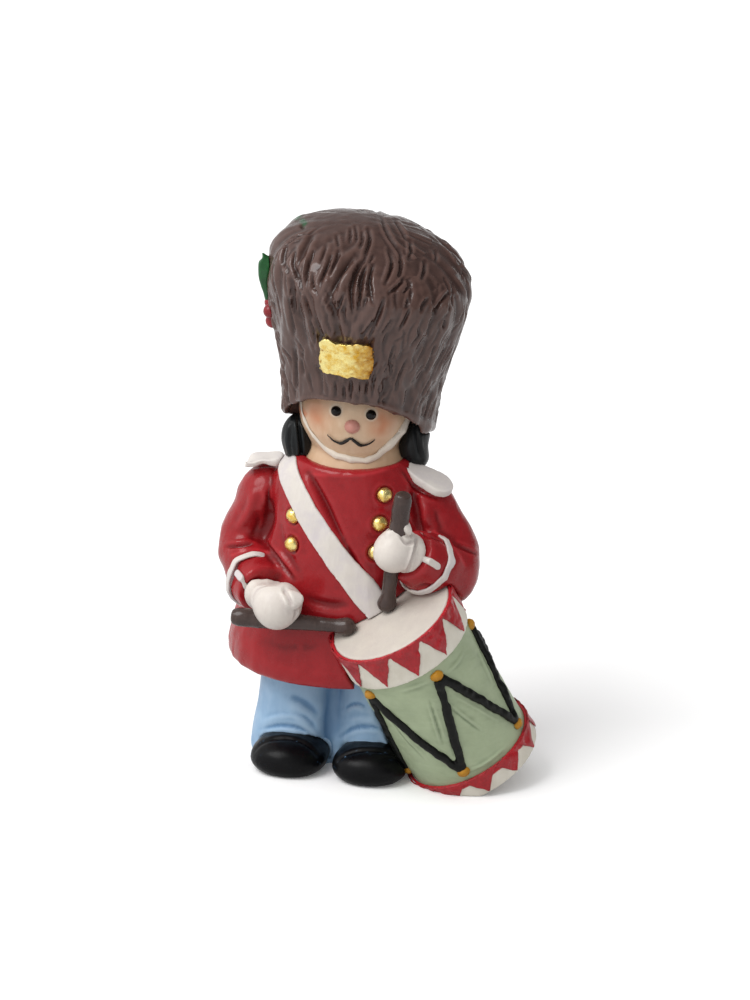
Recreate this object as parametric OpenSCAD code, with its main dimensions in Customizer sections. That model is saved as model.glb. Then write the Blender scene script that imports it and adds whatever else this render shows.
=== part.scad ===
// Cast and painted figure of a guardsman drummer, as castings and raised details on locating dowels.
// Millimetres, +Z up. The figure faces -Y, and the origin lies on the ground under the middle of the whole.

/* [Body] */
// Height of the coat's hem above the ground
hem_z = 18.8; // [16:0.5:21]
// Height of the coat from its hem to its neckline
coat_h = 41.2; // [38:1:46]
// Half of the coat's width at its hem
coat_side = 22.5; // [20:0.5:24]
// How far the hem reaches in front of the body's axis
coat_front = 16.6; // [15:0.5:19]
// How far the hem reaches behind the body's axis
coat_back = 15.5; // [14:0.5:18]
// Diameter of a coat button
button_d = 2.9; // [2.4:0.1:3.3]
// Height from one row of buttons to the next
button_pitch = 5.3; // [4.5:0.1:6]
// Half of the distance between the two columns of buttons
button_side = 8.4; // [7.5:0.1:9.5]
// Width of the drum sling
sling_w = 4.8; // [3.5:0.1:6]
// How far the sling stands out of the coat
sling_t = 0.8; // [0.5:0.1:1.2]
// Length of a shoulder strap
epaulette_l = 10; // [8:0.5:12]
// Width of a shoulder strap at its round end
epaulette_w = 6; // [5:0.5:7.5]
// Thickness of a shoulder strap
epaulette_t = 1.6; // [1:0.1:2]

/* [Arms] */
// Radius of a sleeve at the elbow
elbow_r = 6.3; // [5.6:0.1:6.8]
// Radius of a sleeve at the wrist
wrist_r = 4.7; // [4.2:0.1:5.2]
// Radius of a gloved fist
fist_r = 4.7; // [4.2:0.1:5.2]
// Width of the white braid round a sleeve
braid_w = 1.4; // [1:0.1:2]
// How far braid and tabs stand out of a sleeve
braid_t = 0.5; // [0.3:0.1:0.8]
// Length of the white tab on a cuff
tab_l = 3.6; // [3:0.1:4]
// Diameter of a drumstick at its butt
stick_d = 3.5; // [3:0.1:4]
// Diameter of a drumstick at its neck
stick_neck_d = 2.5; // [2:0.1:2.9]
// Diameter of the knob that strikes the drum
knob_d = 3.4; // [3:0.1:4]

/* [Head and cap] */
// Radius of the head
head_r = 10.7; // [10:0.1:11.5]
// How far the chin sinks below the neckline
chin_sink = 1.9; // [1:0.1:3]
// How far the face is turned to the figure's left, in degrees
head_turn = 12.5; // [0:0.5:20]
// Diameter of an eye
eye_d = 2; // [1.6:0.1:2.4]
// Distance between the eyes
eye_pitch = 6.5; // [5.5:0.1:7.5]
// Diameter of the round nose
nose_d = 3.1; // [2.6:0.1:3.6]
// Width of the moustache from tip to tip
moustache_w = 8.8; // [7:0.1:10]
// Width of the chin strap
chin_strap_w = 1.5; // [1:0.1:2]
// How far the chin strap stands out of the head
chin_strap_t = 0.5; // [0.3:0.1:0.8]
// Height of the bearskin cap from the back of its rim to its crown
cap_h = 45.2; // [43:0.2:49]
// Radius of the cap where it is widest
cap_r = 19.3; // [18.5:0.1:20.5]
// Depth of the furrows between the locks of the cap's fur
lock_h = 0.9; // [0.5:0.1:1.2]
// Width of the plate on the cap
plate_w = 10.2; // [8:0.1:12]
// Height of the plate on the cap
plate_h = 7.6; // [6.5:0.1:9]
// Thickness of the plate on the cap
plate_t = 0.9; // [0.6:0.1:1.2]
// Length of a holly leaf
leaf_l = 8; // [6:0.5:10]
// Width of a holly leaf
leaf_w = 4.6; // [3.5:0.1:5.5]
// How far a holly leaf stands out of the cap
leaf_t = 1.4; // [0.8:0.1:1.8]
// Diameter of a holly berry
berry_d = 3; // [2.4:0.1:3.6]

/* [Drum] */
// Radius of the drum's shell
shell_r = 11.8; // [11:0.1:12.5]
// Length of the drum from head to head
drum_l = 36.4; // [35:0.2:39]
// Height of the upper hoop
hoop_h = 7.2; // [6:0.1:8]
// Height of the lower hoop
lower_hoop_h = 4.4; // [4:0.1:5]
// How far a hoop stands out of the shell
hoop_t = 0.6; // [0.4:0.1:0.9]
// How far the painted triangles stand out of a hoop
triangle_t = 0.15; // [0.1:0.05:0.3]
// Lean of the drum from upright, in degrees
drum_lean = 29; // [25:0.5:30]
// Width of a tension cord
cord_d = 1.5; // [1.1:0.1:1.9]
// Diameter of a lug
lug_d = 2.5; // [2:0.1:3]

/* [Legs] */
// Half of the distance between the two legs
leg_side = 7.9; // [7.3:0.1:8.4]
// Radius of a trouser leg at the ground
leg_r = 9.3; // [8.8:0.1:9.8]
// Half of a boot's width
boot_side = 7.3; // [6.8:0.1:7.6]
// Height of a boot
boot_h = 6.8; // [6:0.1:8]
// How far the toes reach in front of the body's axis
toe_reach = 17.4; // [16:0.1:19]

/* [Joints] */
// Diameter of a dowel between two castings
dowel_d = 3; // [2.5:0.1:3.5]
// Length of a dowel
dowel_l = 8; // [7:0.5:9]
// Play round a dowel in its hole
dowel_play = 0.05; // [0.03:0.01:0.1]
// Glue gap between castings that seat in one another
glue_gap = 0.1; // [0.05:0.05:0.2]

/* [Hidden] */

// Fineness of the modelled skins
ring_sides = 28;
tube_sides = 18;
cord_sides = 7;
ball_sides = 16;
lug_sides = 12;
round_fn = 48;
core_fn = 96;
bore_fn = 24;
stick_fn = 20;
row_steps = 2;
// What a cut runs past the solid that it cuts
overrun = 1;
// Past every piece, for the blocks that cut at a plane
whole_r = coat_h + cap_h;

// The figure's own frame has the body's axis for its z axis
neckline_z = hem_z + coat_h;
neck_seat = 0.8;
head_at = [coat_side * 0.06, coat_back * 0.13, neckline_z + head_r - chin_sink];
head_h = 2 * head_r - chin_sink + neck_seat;
head_roll = 5;
face_out = 0.93;

// Height, half width, front, back and sideways shift of the coat, as shares of its sizes
coat_shares = [
    [0.00, 0.975, 0.970, 0.97, 0.00], [0.03, 1.000, 1.000, 1.00, 0.00], [0.12, 0.985, 0.985, 0.98, 0.00],
    [0.30, 0.890, 0.905, 0.92, 0.00], [0.45, 0.780, 0.840, 0.86, 0.00], [0.60, 0.690, 0.780, 0.80, 0.01],
    [0.75, 0.665, 0.710, 0.74, 0.02], [0.86, 0.640, 0.650, 0.70, 0.03], [0.93, 0.590, 0.610, 0.66, 0.05],
    [1.00, 0.465, 0.590, 0.62, 0.06]
];
// Height and radius of the head with its neck, as shares of its height and radius
head_shares = [
    [0.00, 0.950], [0.07, 0.860], [0.14, 0.800], [0.22, 0.875], [0.32, 0.960], [0.47, 1.000], [0.62, 0.955],
    [0.75, 0.840], [0.86, 0.670], [0.94, 0.460], [0.985, 0.230], [1.00, 0.080]
];
// Height and radius of the cap, as shares of its height and greatest radius
cap_shares = [
    [0.00, 0.740], [0.16, 0.758], [0.28, 0.783], [0.40, 0.826], [0.52, 0.895], [0.63, 0.954], [0.70, 0.991],
    [0.78, 1.000], [0.85, 0.952], [0.91, 0.821], [0.955, 0.593], [0.985, 0.331], [1.00, 0.060]
];
// How deep a furrow is at a height of the cap, and across a lock from its crest to the next
furrow_shares = [
    [0.00, 0.25], [0.16, 0.35], [0.30, 0.60], [0.45, 1.00], [0.88, 1.00], [0.95, 0.55], [1.00, 0.00]
];
lock_shares = [0.00, 0.30, 1.00, 0.30];
// Height, half width, front and back of one trouser leg, as shares of the hem's height and the leg's radius
leg_shares = [
    [0.00, 1.040, 0.970, 0.97], [0.06, 1.080, 1.000, 1.00], [0.25, 1.020, 0.980, 0.96],
    [0.50, 0.920, 0.900, 0.90], [0.75, 0.860, 0.870, 0.88], [1.00, 0.810, 0.900, 0.90]
];
// Length from the heel, half width and height of a boot, as shares of its sizes
boot_shares = [
    [0.00, 0.30, 0.35], [0.05, 0.55, 0.62], [0.15, 0.76, 0.80], [0.35, 0.82, 0.88], [0.55, 0.94, 0.98],
    [0.70, 1.00, 1.00], [0.84, 0.93, 0.88], [0.94, 0.70, 0.66], [0.985, 0.40, 0.42], [1.00, 0.18, 0.22]
];
// Places down an arm as shares of the coat's half width, front and height, and the sleeve's radius there
right_arm_shares = [
    [-0.520, 0.030, 0.820, 0.50], [-0.600, 0.030, 0.795, 0.78], [-0.662, 0.030, 0.762, 0.90],
    [-0.738, 0.030, 0.667, 0.95], [-0.800, 0.012, 0.560, 0.97], [-0.790, -0.140, 0.475, 0.97],
    [-0.700, -0.430, 0.425, 0.90], [-0.545, -0.760, 0.410, 0.78]
];
left_arm_shares = [
    [0.545, 0.030, 0.835, 0.50], [0.620, 0.030, 0.810, 0.78], [0.665, 0.030, 0.776, 0.89],
    [0.745, 0.030, 0.679, 0.95], [0.856, -0.012, 0.567, 1.01], [0.880, -0.210, 0.505, 1.02],
    [0.825, -0.440, 0.560, 0.94], [0.705, -0.705, 0.655, 0.79]
];
arm_steps = 2;
elbow_row = 5;
braid_share = 0.9;
tab_share = 0.957;
right_arm = arm_rows(right_arm_shares);
left_arm = arm_rows(left_arm_shares);

// Fists, and where each stick runs past the middle of its fist and strikes the batter head
right_fist = [-coat_side * 0.36, -coat_front * 1.08, hem_z + coat_h * 0.405];
left_fist = [coat_side * 0.60, -coat_front * 0.88, hem_z + coat_h * 0.69];
left_fist_share = 0.87;
right_stick_l = 23.4;
left_stick_l = 25.6;
stick_bite = 0.2;
right_grip = right_fist - [0, 0, fist_r * 0.66];
left_grip = left_fist + [0, fist_r * 0.10, 0];
right_strike_shares = [0.63, -0.32];
left_strike_shares = [-0.08, -0.16];
right_thumb = [0.72, -0.45, 0.45] * fist_r;
left_thumb = [0.35, 0.10, 0.98] * fist_r;
right_tab_way = [-0.66, -0.49, 0.57];
left_tab_way = [0.81, -0.58, 0.09];

// The drum's frame has its z axis up the drum and its x axis down the lean. The ground cuts its lower hoop
hoop_r = shell_r + hoop_t;
foot_cut = lower_hoop_h * 0.82;
drum_at = [
    coat_side * 0.567, -coat_front * 0.868, drum_l * cos(drum_lean) + hoop_r * sin(drum_lean) - foot_cut
];
drum_swing = 220;
drum_n = [sin(drum_lean) * cos(drum_swing), sin(drum_lean) * sin(drum_swing), cos(drum_lean)];
drum_x = [cos(drum_lean) * cos(drum_swing), cos(drum_lean) * sin(drum_swing), -sin(drum_lean)];
drum_y = [-sin(drum_swing), cos(drum_swing), 0];
// A drum face starts and ends clear of the ground's cut and of the dowel's bore
seam_turn = 120;
head_t = 1;
lug_t = 2.2;
lug_drop = 1.9;
lug_step = 72;
lug_angle = 88;
lower_lug_turn = -24;
triangle_step = 30;
triangle_angle = 75;
right_knob = on_drum(right_strike_shares);
left_knob = on_drum(left_strike_shares);

// The cap sits on the head's middle and leans to the figure's left
cap_at = head_at + [-head_r * 0.018, head_r * 0.10, -head_r * 0.887];
cap_turn = 4;
cap_roll = 4;
cap_slant = 0.116;
// Locks round the cap, how far they lean and sway in degrees, and the tiers in which they lie
lock_count = 18;
lock_lean = 16;
lock_sway = 7;
lock_waves = 3;
tier_count = 1.3;
tier_waves = 2;
tier_share = 1.2;
brim_tilt = 15;
brim_share = 0.125;
arch_shares = [0.17, 0.66, 0.42];
plate_share = 0.555;

// The whole reaches from the right elbow to the drum's foot and from the cap's back to the drum's front
drum_foot = drum_at - drum_l * drum_n;
rim_r = hoop_r + triangle_t;
centre_x = (drum_foot.x + rim_r * sqrt(1 - pow(drum_n.x, 2)) - coat_side * 0.80 - elbow_r * 0.97) / 2;
centre_y = (drum_at.y - rim_r * sqrt(1 - pow(drum_n.y, 2)) + cap_at.y + cap_r) / 2;

function unit(v) = v / norm(v);
function spline(a, b, c, d, t) =
    0.5 * (2 * b + (c - a) * t + (2 * a - 5 * b + 4 * c - d) * t * t + (3 * b - a - 3 * c + d) * t * t * t);
function row_at(table, t) =
    let (last = len(table) - 1, i = min(floor(t), last - 1))
    spline(table[max(i - 1, 0)], table[i], table[i + 1], table[min(i + 2, last)], t - i);
function smooth(table, steps) = [for (k = [0 : (len(table) - 1) * steps]) row_at(table, k / steps)];
function point(row) = [row[0], row[1], row[2]];

function arm_rows(shares) = [
    for (row = shares)
        [row[0] * coat_side, row[1] * coat_front, hem_z + row[2] * coat_h, row[3] * elbow_r]
];
function upper_part(arm) = [for (i = [0 : elbow_row]) arm[i]];
function fore_part(arm) = [for (i = [elbow_row : len(arm) - 1]) arm[i]];
function arm_way(arm, t) =
    unit(point(row_at(arm, min(t + 0.1, len(arm) - 1))) - point(row_at(arm, t - 0.1)));
function on_drum(shares) =
    drum_at + shell_r * (shares[0] * drum_x + shares[1] * drum_y) + (knob_d / 2 - stick_bite) * drum_n;

// How far the coat reaches forward at a height and a distance from its middle plane
function coat_row(z) =
    let (share = (z - hem_z) / coat_h, heights = [for (row = coat_shares) row[0]])
    [for (n = [1 : 4]) lookup(share, [for (row = coat_shares) [row[0], row[n]]])];
function coat_y(x, z) =
    let (row = coat_row(z), reach = (x - row[3] * coat_side) / (row[0] * coat_side))
    -row[1] * coat_front * sqrt(1 - reach * reach);
function coat_way(x, z) =
    let (d = button_d * 0.08, y = coat_y(x, z))
    unit([(coat_y(x + d, z) - y) / d, -1, (coat_y(x, z + d) - y) / d]);
function cap_radius(share) = lookup(share, cap_shares) * cap_r;
function cap_point(turn, share) =
    [cap_radius(share) * sin(turn), -cap_radius(share) * cos(turn),
        cap_h * share - cap_slant * share * cap_radius(share) * sin(turn)];

// A place on the fur, whose locks sway down the cap, lean in to the plate and give way to others between
// them. The fur stays inside the smooth form that the plate and the sprig sit on
function fur_point(row, k) =
    let (
        start = 360 * k / (lock_count * len(lock_shares)),
        lean = lock_lean * (1 - row[0]) * sin(start),
        turn = start - lean + lock_sway * sin(360 * row[0] + lock_waves * start),
        wave = sin(360 * tier_count * row[0] + tier_waves * start),
        tier = min(max(0.5 + tier_share * wave, 0), 1),
        across = tier * lock_share(k) + (1 - tier) * lock_share(k + len(lock_shares) / 2),
        reach = row[1] * cap_r * cos(180 / ring_sides) - lock_h * lookup(row[0], furrow_shares) * across
    )
    [reach * sin(turn), -reach * cos(turn), (cap_h - cap_slant * reach * sin(turn)) * row[0]];
function lock_share(k) = lock_shares[k % len(lock_shares)];

// A ring in a level plane, with one half width and its own reach to the front and to the back
function oval_ring(centre, half, front, back) = [
    for (k = [0 : ring_sides - 1])
        let (a = 360 * k / ring_sides)
        centre + [half * cos(a), (sin(a) < 0 ? front : back) * sin(a), 0]
];
// A ring square to a way
function round_ring(centre, way, radius, sides, across) =
    let (side = unit(cross(way, across)), other = cross(way, side))
    [for (k = [0 : sides - 1]) let (a = 360 * k / sides) centre + radius * (side * cos(a) + other * sin(a))];
function tube_rings(rows, sides, across) = [
    for (i = [0 : len(rows) - 1])
        let (before = point(rows[max(i - 1, 0)]), after = point(rows[min(i + 1, len(rows) - 1)]))
        round_ring(point(rows[i]), unit(after - before), rows[i][3], sides, across)
];
function average(points) = [for (p = points) 1] * points / len(points);

// Closed skin over rings that run counter-clockwise about the way in which they follow each other
module skin(rings) {
    sides = len(rings[0]);
    rows = len(rings);
    points = concat([average(rings[0])], [for (ring = rings) each ring], [average(rings[rows - 1])]);
    walls = [
        for (r = [0 : rows - 2], k = [0 : sides - 1])
            let (low = 1 + r * sides + k, low_next = 1 + r * sides + (k + 1) % sides)
            each [[low, low + sides, low_next + sides], [low, low_next + sides, low_next]]
    ];
    first_cap = [for (k = [0 : sides - 1]) [0, 1 + k, 1 + (k + 1) % sides]];
    top = 1 + (rows - 1) * sides;
    last_cap = [for (k = [0 : sides - 1]) [top + sides, top + (k + 1) % sides, top + k]];
    polyhedron(points, concat(first_cap, walls, last_cap), convexity = 6);
}

// Turns +Z to a way
module facing(way) {
    rotate([0, acos(way.z / norm(way)), atan2(way.y, way.x)])
        children();
}

// Stands on a point with +Z along a way and +X as near as can be to another
module standing(origin, way, along) {
    z = unit(way);
    y = unit(cross(z, along));
    x = cross(y, z);
    multmatrix([[x.x, y.x, z.x, origin.x], [x.y, y.y, z.y, origin.y], [x.z, y.z, z.z, origin.z]])
        children();
}

module ball(size, sides = ball_sides) {
    scale(size / 2)
        sphere(r = 1, $fn = sides);
}

module dowel(middle, way, length, diameter) {
    translate(middle)
        facing(way)
            cylinder(d = diameter, h = length, center = true, $fn = bore_fn);
}

module above_ground() {
    intersection() {
        children();
        translate([0, 0, whole_r * 2])
            cube(whole_r * 4, center = true);
    }
}

// Brings the figure's own frame to the middle of the whole
module figure() {
    translate([-centre_x, -centre_y, 0])
        children();
}

module on_face() {
    translate(head_at)
        rotate([0, head_roll, head_turn])
            children();
}

module on_cap() {
    translate(cap_at)
        rotate([0, cap_roll, cap_turn])
            children();
}

module in_drum() {
    translate(drum_at)
        rotate([0, drum_lean, drum_swing])
            children();
}

module coat_form(grow) {
    skin([
        for (row = smooth(coat_shares, row_steps))
            oval_ring([row[4] * coat_side, 0, hem_z + row[0] * coat_h], row[1] * coat_side + grow,
                row[2] * coat_front + grow, row[3] * coat_back + grow)
    ]);
}

// Upper arm and forearm, which meet in a ball at the elbow
module arm_form(arm, grow) {
    elbow = arm[elbow_row];
    for (part = [upper_part(arm), fore_part(arm)])
        skin(tube_rings([for (row = smooth(part, arm_steps)) row + [0, 0, 0, grow]], tube_sides, [1, 0, 0]));
    translate(point(elbow))
        ball([2, 2, 2] * (elbow[3] * 1.01 + grow), tube_sides);
}

module head_form(grow) {
    skin([
        for (row = head_shares)
            let (reach = row[1] * head_r + grow)
            oval_ring(head_at + [0, 0, head_r - head_h + row[0] * (head_h + grow)], reach, reach, reach)
    ]);
}

module cap_form(grow) {
    on_cap()
        skin([
            for (row = smooth(cap_shares, row_steps))
                let (reach = row[1] * cap_r + grow, height = row[0] * (cap_h + grow))
                [
                    for (p = oval_ring([0, 0, height], reach, reach, reach))
                        p - [0, 0, cap_slant * row[0] * p.x]
                ]
        ]);
}

module fur_form() {
    on_cap()
        skin([
            for (row = smooth(cap_shares, row_steps))
                [for (k = [0 : lock_count * len(lock_shares) - 1]) fur_point(row, k)]
        ]);
}

module leg_form(side) {
    skin([
        for (row = leg_shares)
            oval_ring([side * leg_side, -leg_r * 0.16, row[0] * hem_z], row[1] * leg_r, row[2] * leg_r,
                row[3] * leg_r)
    ]);
}

module boot_form(side) {
    heel = leg_r * 0.55;
    skin([
        for (row = smooth(boot_shares, row_steps))
            [
                for (k = [0 : tube_sides - 1])
                    let (a = 360 * k / tube_sides, low = boot_h * 0.36)
                    [side * leg_side + boot_side * row[1] * cos(a), heel - (heel + toe_reach) * row[0],
                        low + (sin(a) < 0 ? low * 1.6 : boot_h - low) * row[2] * sin(a)]
            ]
    ]);
}

module lug_balls(z, turn) {
    for (k = [0 : 360 / lug_step - 1])
        rotate([0, 0, lug_angle + turn + k * lug_step])
            translate([shell_r, 0, z])
                ball([lug_t, lug_d * 1.08, lug_d * 0.84], lug_sides);
}

module all_lugs() {
    lug_balls(-hoop_h - lug_drop, 0);
    lug_balls(lower_hoop_h + lug_drop - drum_l, lower_lug_turn);
}

// A round of the drum from one height to another
module drum_round(radius, low, high) {
    translate([0, 0, low])
        rotate([0, 0, seam_turn])
            cylinder(r = radius, h = high - low, $fn = round_fn);
}

// The room that the drum takes in the castings behind it
module drum_room() {
    in_drum()
        translate([0, 0, -drum_l - overrun])
            cylinder(r = rim_r + glue_gap, h = drum_l + overrun + glue_gap, $fn = round_fn);
}

module drum_seat() {
    drum_room();
    in_drum()
        scale([1, 1, 1] * (1 + glue_gap / shell_r))
            all_lugs();
}

// The shell as the pieces that are laid on it meet it
module shell_core() {
    translate([0, 0, -drum_l])
        cylinder(r = shell_r, h = drum_l, $fn = core_fn);
}

module stick_form(knob, grip, length, grow) {
    way = unit(grip - knob);
    shaft = length - knob_d / 2;
    translate(knob)
        facing(way)
            rotate_extrude($fn = stick_fn)
                polygon([
                    [0, -0.50 * knob_d - grow], [0.22 * knob_d + grow, -0.45 * knob_d],
                    [0.42 * knob_d + grow, -0.27 * knob_d], [0.50 * knob_d + grow, 0],
                    [0.45 * knob_d + grow, 0.22 * knob_d], [0.5 * stick_neck_d + grow, 0.60 * knob_d],
                    [0.5 * stick_d + grow, shaft * 0.62], [0.5 * stick_d + grow, shaft - 0.4 * stick_d],
                    [0.40 * stick_d + grow, shaft - 0.1 * stick_d], [0.2 * stick_d, shaft + grow],
                    [0, shaft + grow]
                ]);
}

module right_stick_form(grow) {
    stick_form(right_knob, right_grip, right_stick_l, grow);
}

module left_stick_form(grow) {
    stick_form(left_knob, left_grip, left_stick_l, grow);
}

module sling_form() {
    intersection() {
        coat_form(sling_t);
        translate([-coat_side * 0.045, 0, hem_z + coat_h * 0.7])
            rotate([0, 50, 0])
                cube([whole_r * 3, whole_r * 3, sling_w], center = true);
    }
}

// Cuts a form of the cap back to its rim, which arches over the face
module over_rim() {
    difference() {
        children();
        on_cap() {
            translate([0, 0, cap_h * brim_share])
                rotate([-brim_tilt, 0, 0])
                    translate([0, 0, -whole_r / 2])
                        cube([whole_r * 2, whole_r * 2, whole_r], center = true);
            translate([0, -head_r * 0.2, cap_h * arch_shares[0]])
                scale([cap_r * arch_shares[1], 1, cap_r * arch_shares[2]])
                    rotate([90, 0, 0])
                        cylinder(r = 1, h = cap_r, $fn = round_fn);
        }
    }
}

module cap_over_rim() {
    over_rim()
        cap_form(0);
}

// The castings of the figure
module bearskin_cap() {
    color([0.37, 0.29, 0.27])
        figure()
            difference() {
                over_rim()
                    fur_form();
                head_form(0);
                cap_joint(dowel_play);
            }
}

module plate_outline() {
    offset(delta = plate_h * 0.1, chamfer = true)
        square([plate_w - plate_h * 0.2, plate_h * 0.8], center = true);
}

module cap_plate() {
    color([0.93, 0.74, 0.28])
        figure()
            difference() {
                intersection() {
                    cap_form(plate_t);
                    on_cap()
                        translate([0, 0, cap_h * plate_share])
                            rotate([90, 0, 0])
                                linear_extrude(cap_r * 1.5)
                                    plate_outline();
                }
                fur_form();
            }
}

// A smooth pointed leaf with its tip up, seen from outside
module leaf_outline() {
    side = [[0.00, 0.08], [0.08, 0.25], [0.20, 0.41], [0.36, 0.50], [0.54, 0.47], [0.70, 0.35], [0.86, 0.17]];
    polygon(concat(
        [for (p = side) [p[1] * leaf_w, (p[0] - 0.5) * leaf_l]],
        [[0, leaf_l / 2]],
        [for (i = [len(side) - 1 : -1 : 0]) [-side[i][1] * leaf_w, (side[i][0] - 0.5) * leaf_l]]
    ));
}

module leaf_at(turn, share, lift, spin) {
    translate(cap_point(turn, share))
        facing([sin(turn) * cos(lift), -cos(turn) * cos(lift), sin(lift)])
            rotate([0, 0, spin])
                translate([0, 0, -leaf_w / 2])
                    linear_extrude(leaf_w)
                        leaf_outline();
}

module holly_leaves() {
    color([0.16, 0.36, 0.18])
        figure()
            difference() {
                intersection() {
                    cap_form(leaf_t);
                    on_cap() {
                        leaf_at(-80, 0.72, 0, -90);
                        leaf_at(-112, 0.66, 0, -35);
                    }
                }
                fur_form();
                holly_berry_balls();
            }
}

module holly_berry_balls() {
    on_cap()
        for (spot = [[-78, 0.565], [-82, 0.515], [-88, 0.575]])
            translate(cap_point(spot[0], spot[1]))
                ball([berry_d, berry_d, berry_d]);
}

module holly_berries() {
    color([0.62, 0.12, 0.13])
        figure()
            difference() {
                holly_berry_balls();
                fur_form();
            }
}

module head() {
    color([0.85, 0.74, 0.64])
        figure()
            difference() {
                head_form(0);
                cap_joint(dowel_play);
                neck_joint(dowel_play);
            }
}

module nose() {
    color([0.78, 0.55, 0.50])
        figure()
            difference() {
                on_face()
                    translate([0, -head_r * face_out, -head_r * 0.02])
                        ball([nose_d, nose_d * 1.3, nose_d * 0.94]);
                head_form(0);
            }
}

module eyes() {
    color([0.05, 0.04, 0.04])
        figure()
            difference() {
                on_face()
                    for (side = [-1, 1])
                        translate([side * eye_pitch / 2, -head_r * 0.925, head_r * 0.21])
                            rotate([12, 0, side * 18])
                                ball([eye_d, eye_d * 0.9, eye_d * 0.95]);
                head_form(0);
            }
}

module moustache() {
    color([0.05, 0.04, 0.04])
        figure()
            difference() {
                on_face()
                    for (side = [-1, 1])
                        moustache_wing(side);
                head_form(0);
            }
}

// One wing of the moustache, as a thread laid on the round of the face. Its rows hold a share of the half
// width, an angle below the face's middle and a share of the width
module moustache_wing(side) {
    wing_shares = [
        [0.000, -13.0, 0.034], [0.170, -17.0, 0.051], [0.382, -21.0, 0.057], [0.594, -21.5, 0.048],
        [0.849, -18.5, 0.036], [1.061, -13.5, 0.023]
    ];
    rows = [
        for (s = wing_shares)
            let (turn = side * s[0] * moustache_w / (2 * head_r) * 180 / PI)
            [
                head_r * sin(turn) * cos(s[1]), -head_r * cos(turn) * cos(s[1]), head_r * sin(s[1]),
                s[2] * moustache_w
            ]
    ];
    skin(tube_rings(smooth(rows, row_steps), cord_sides, [0, 0.2, 1]));
}

// A cord round the cheeks that passes under the chin
module chin_strap() {
    spots = [[74, 0.10], [60, -0.18], [46, -0.41], [33, -0.58], [17, -0.70]];
    loop = concat([for (s = spots) [-s[0], s[1]]], [[0, -0.73]], [for (i = [4 : -1 : 0]) spots[i]]);
    rows = [
        for (s = loop)
            let (
                share = (head_h - head_r + s[1] * head_r) / head_h,
                reach = lookup(share, head_shares) * head_r + chin_strap_t - chin_strap_w / 2
            )
            [reach * sin(s[0]), -reach * cos(s[0]), s[1] * head_r, chin_strap_w / 2]
    ];
    color([0.87, 0.85, 0.82])
        figure()
            difference() {
                on_face()
                    skin(tube_rings(rows, cord_sides, [0, 0.3, 1]));
                head_form(0);
                cap_over_rim();
                coat_form(0);
            }
}

module hair_lock(side, at) {
    color([0.10, 0.10, 0.10])
        figure()
            difference() {
                translate(at)
                    rotate([0, side * 8, 0])
                        ball([head_r * 0.62, head_r * 0.64, head_r * 0.98]);
                head_form(0);
                cap_over_rim();
                coat_form(0);
                sling_form();
                shoulder_strap_form(side);
            }
}

module right_hair_lock() {
    hair_lock(-1, head_at + [-head_r * 0.93, -head_r * 0.30, -head_r * 0.66]);
}

module left_hair_lock() {
    hair_lock(1, head_at + [head_r * 1.07, head_r * 0.05, -head_r * 0.66]);
}

module coat() {
    color([0.63, 0.12, 0.14])
        figure()
            difference() {
                coat_form(0);
                head_form(0);
                drum_seat();
                neck_joint(dowel_play);
                waist_joint(dowel_play);
                arm_joint(dowel_play);
                drum_joint(dowel_play);
            }
}

module right_sleeve() {
    color([0.63, 0.12, 0.14])
        figure()
            difference() {
                arm_form(right_arm, 0);
                coat_form(0);
                arm_joint(dowel_play);
                wrist_joint(right_arm, dowel_play);
            }
}

module left_sleeve() {
    color([0.63, 0.12, 0.14])
        figure()
            difference() {
                arm_form(left_arm, 0);
                coat_form(0);
                drum_room();
                arm_joint(dowel_play);
                wrist_joint(left_arm, dowel_play);
            }
}

module cuff_braid(arm) {
    stop = braid_share * (len(arm) - 1);
    intersection() {
        arm_form(arm, braid_t);
        standing(point(row_at(arm, stop)), arm_way(arm, stop), [1, 0, 0])
            cylinder(r = elbow_r * 1.12, h = braid_w, center = true, $fn = bore_fn);
    }
}

module right_cuff_braid() {
    color([0.88, 0.85, 0.82])
        figure()
            difference() {
                cuff_braid(right_arm);
                arm_form(right_arm, 0);
                coat_form(0);
            }
}

module left_cuff_braid() {
    color([0.88, 0.85, 0.82])
        figure()
            difference() {
                cuff_braid(left_arm);
                arm_form(left_arm, 0);
                drum_room();
            }
}

// A round-ended tab between the braid and the cuff's end
module cuff_tab(arm, way) {
    stop = tab_share * (len(arm) - 1);
    low = wrist_r * 0.4;
    standing(point(row_at(arm, stop)), way, arm_way(arm, stop))
        translate([0, 0, low]) {
            for (end = [-1, 1])
                translate([end * (tab_l - braid_w) / 2, 0, 0])
                    cylinder(d = braid_w, h = row_at(arm, stop)[3] + braid_t - low, $fn = bore_fn);
            translate([(braid_w - tab_l) / 2, -braid_w / 2, 0])
                cube([tab_l - braid_w, braid_w, row_at(arm, stop)[3] + braid_t - low]);
        }
}

module right_cuff_tab() {
    color([0.88, 0.85, 0.82])
        figure()
            difference() {
                cuff_tab(right_arm, right_tab_way);
                arm_form(right_arm, 0);
                cuff_braid(right_arm);
            }
}

module left_cuff_tab() {
    color([0.88, 0.85, 0.82])
        figure()
            difference() {
                cuff_tab(left_arm, left_tab_way);
                arm_form(left_arm, 0);
                cuff_braid(left_arm);
            }
}

module glove_form(arm, fist, radius, thumb) {
    wrist = point(arm[len(arm) - 1]);
    way = unit(fist - wrist);
    rows = [
        concat(wrist - way * wrist_r * 0.17, wrist_r * 0.82),
        concat(wrist + way * wrist_r * 0.13, wrist_r * 0.86),
        concat(wrist + way * wrist_r * 0.34, wrist_r * 0.78),
        concat(wrist + (fist - wrist) * 0.6, radius * 0.90)
    ];
    skin(tube_rings(rows, tube_sides, [1, 0, 0]));
    translate(fist)
        ball([2, 2, 2] * radius);
    translate(fist + thumb)
        ball([1.05, 1.05, 1.05] * radius * 0.8);
}

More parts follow.
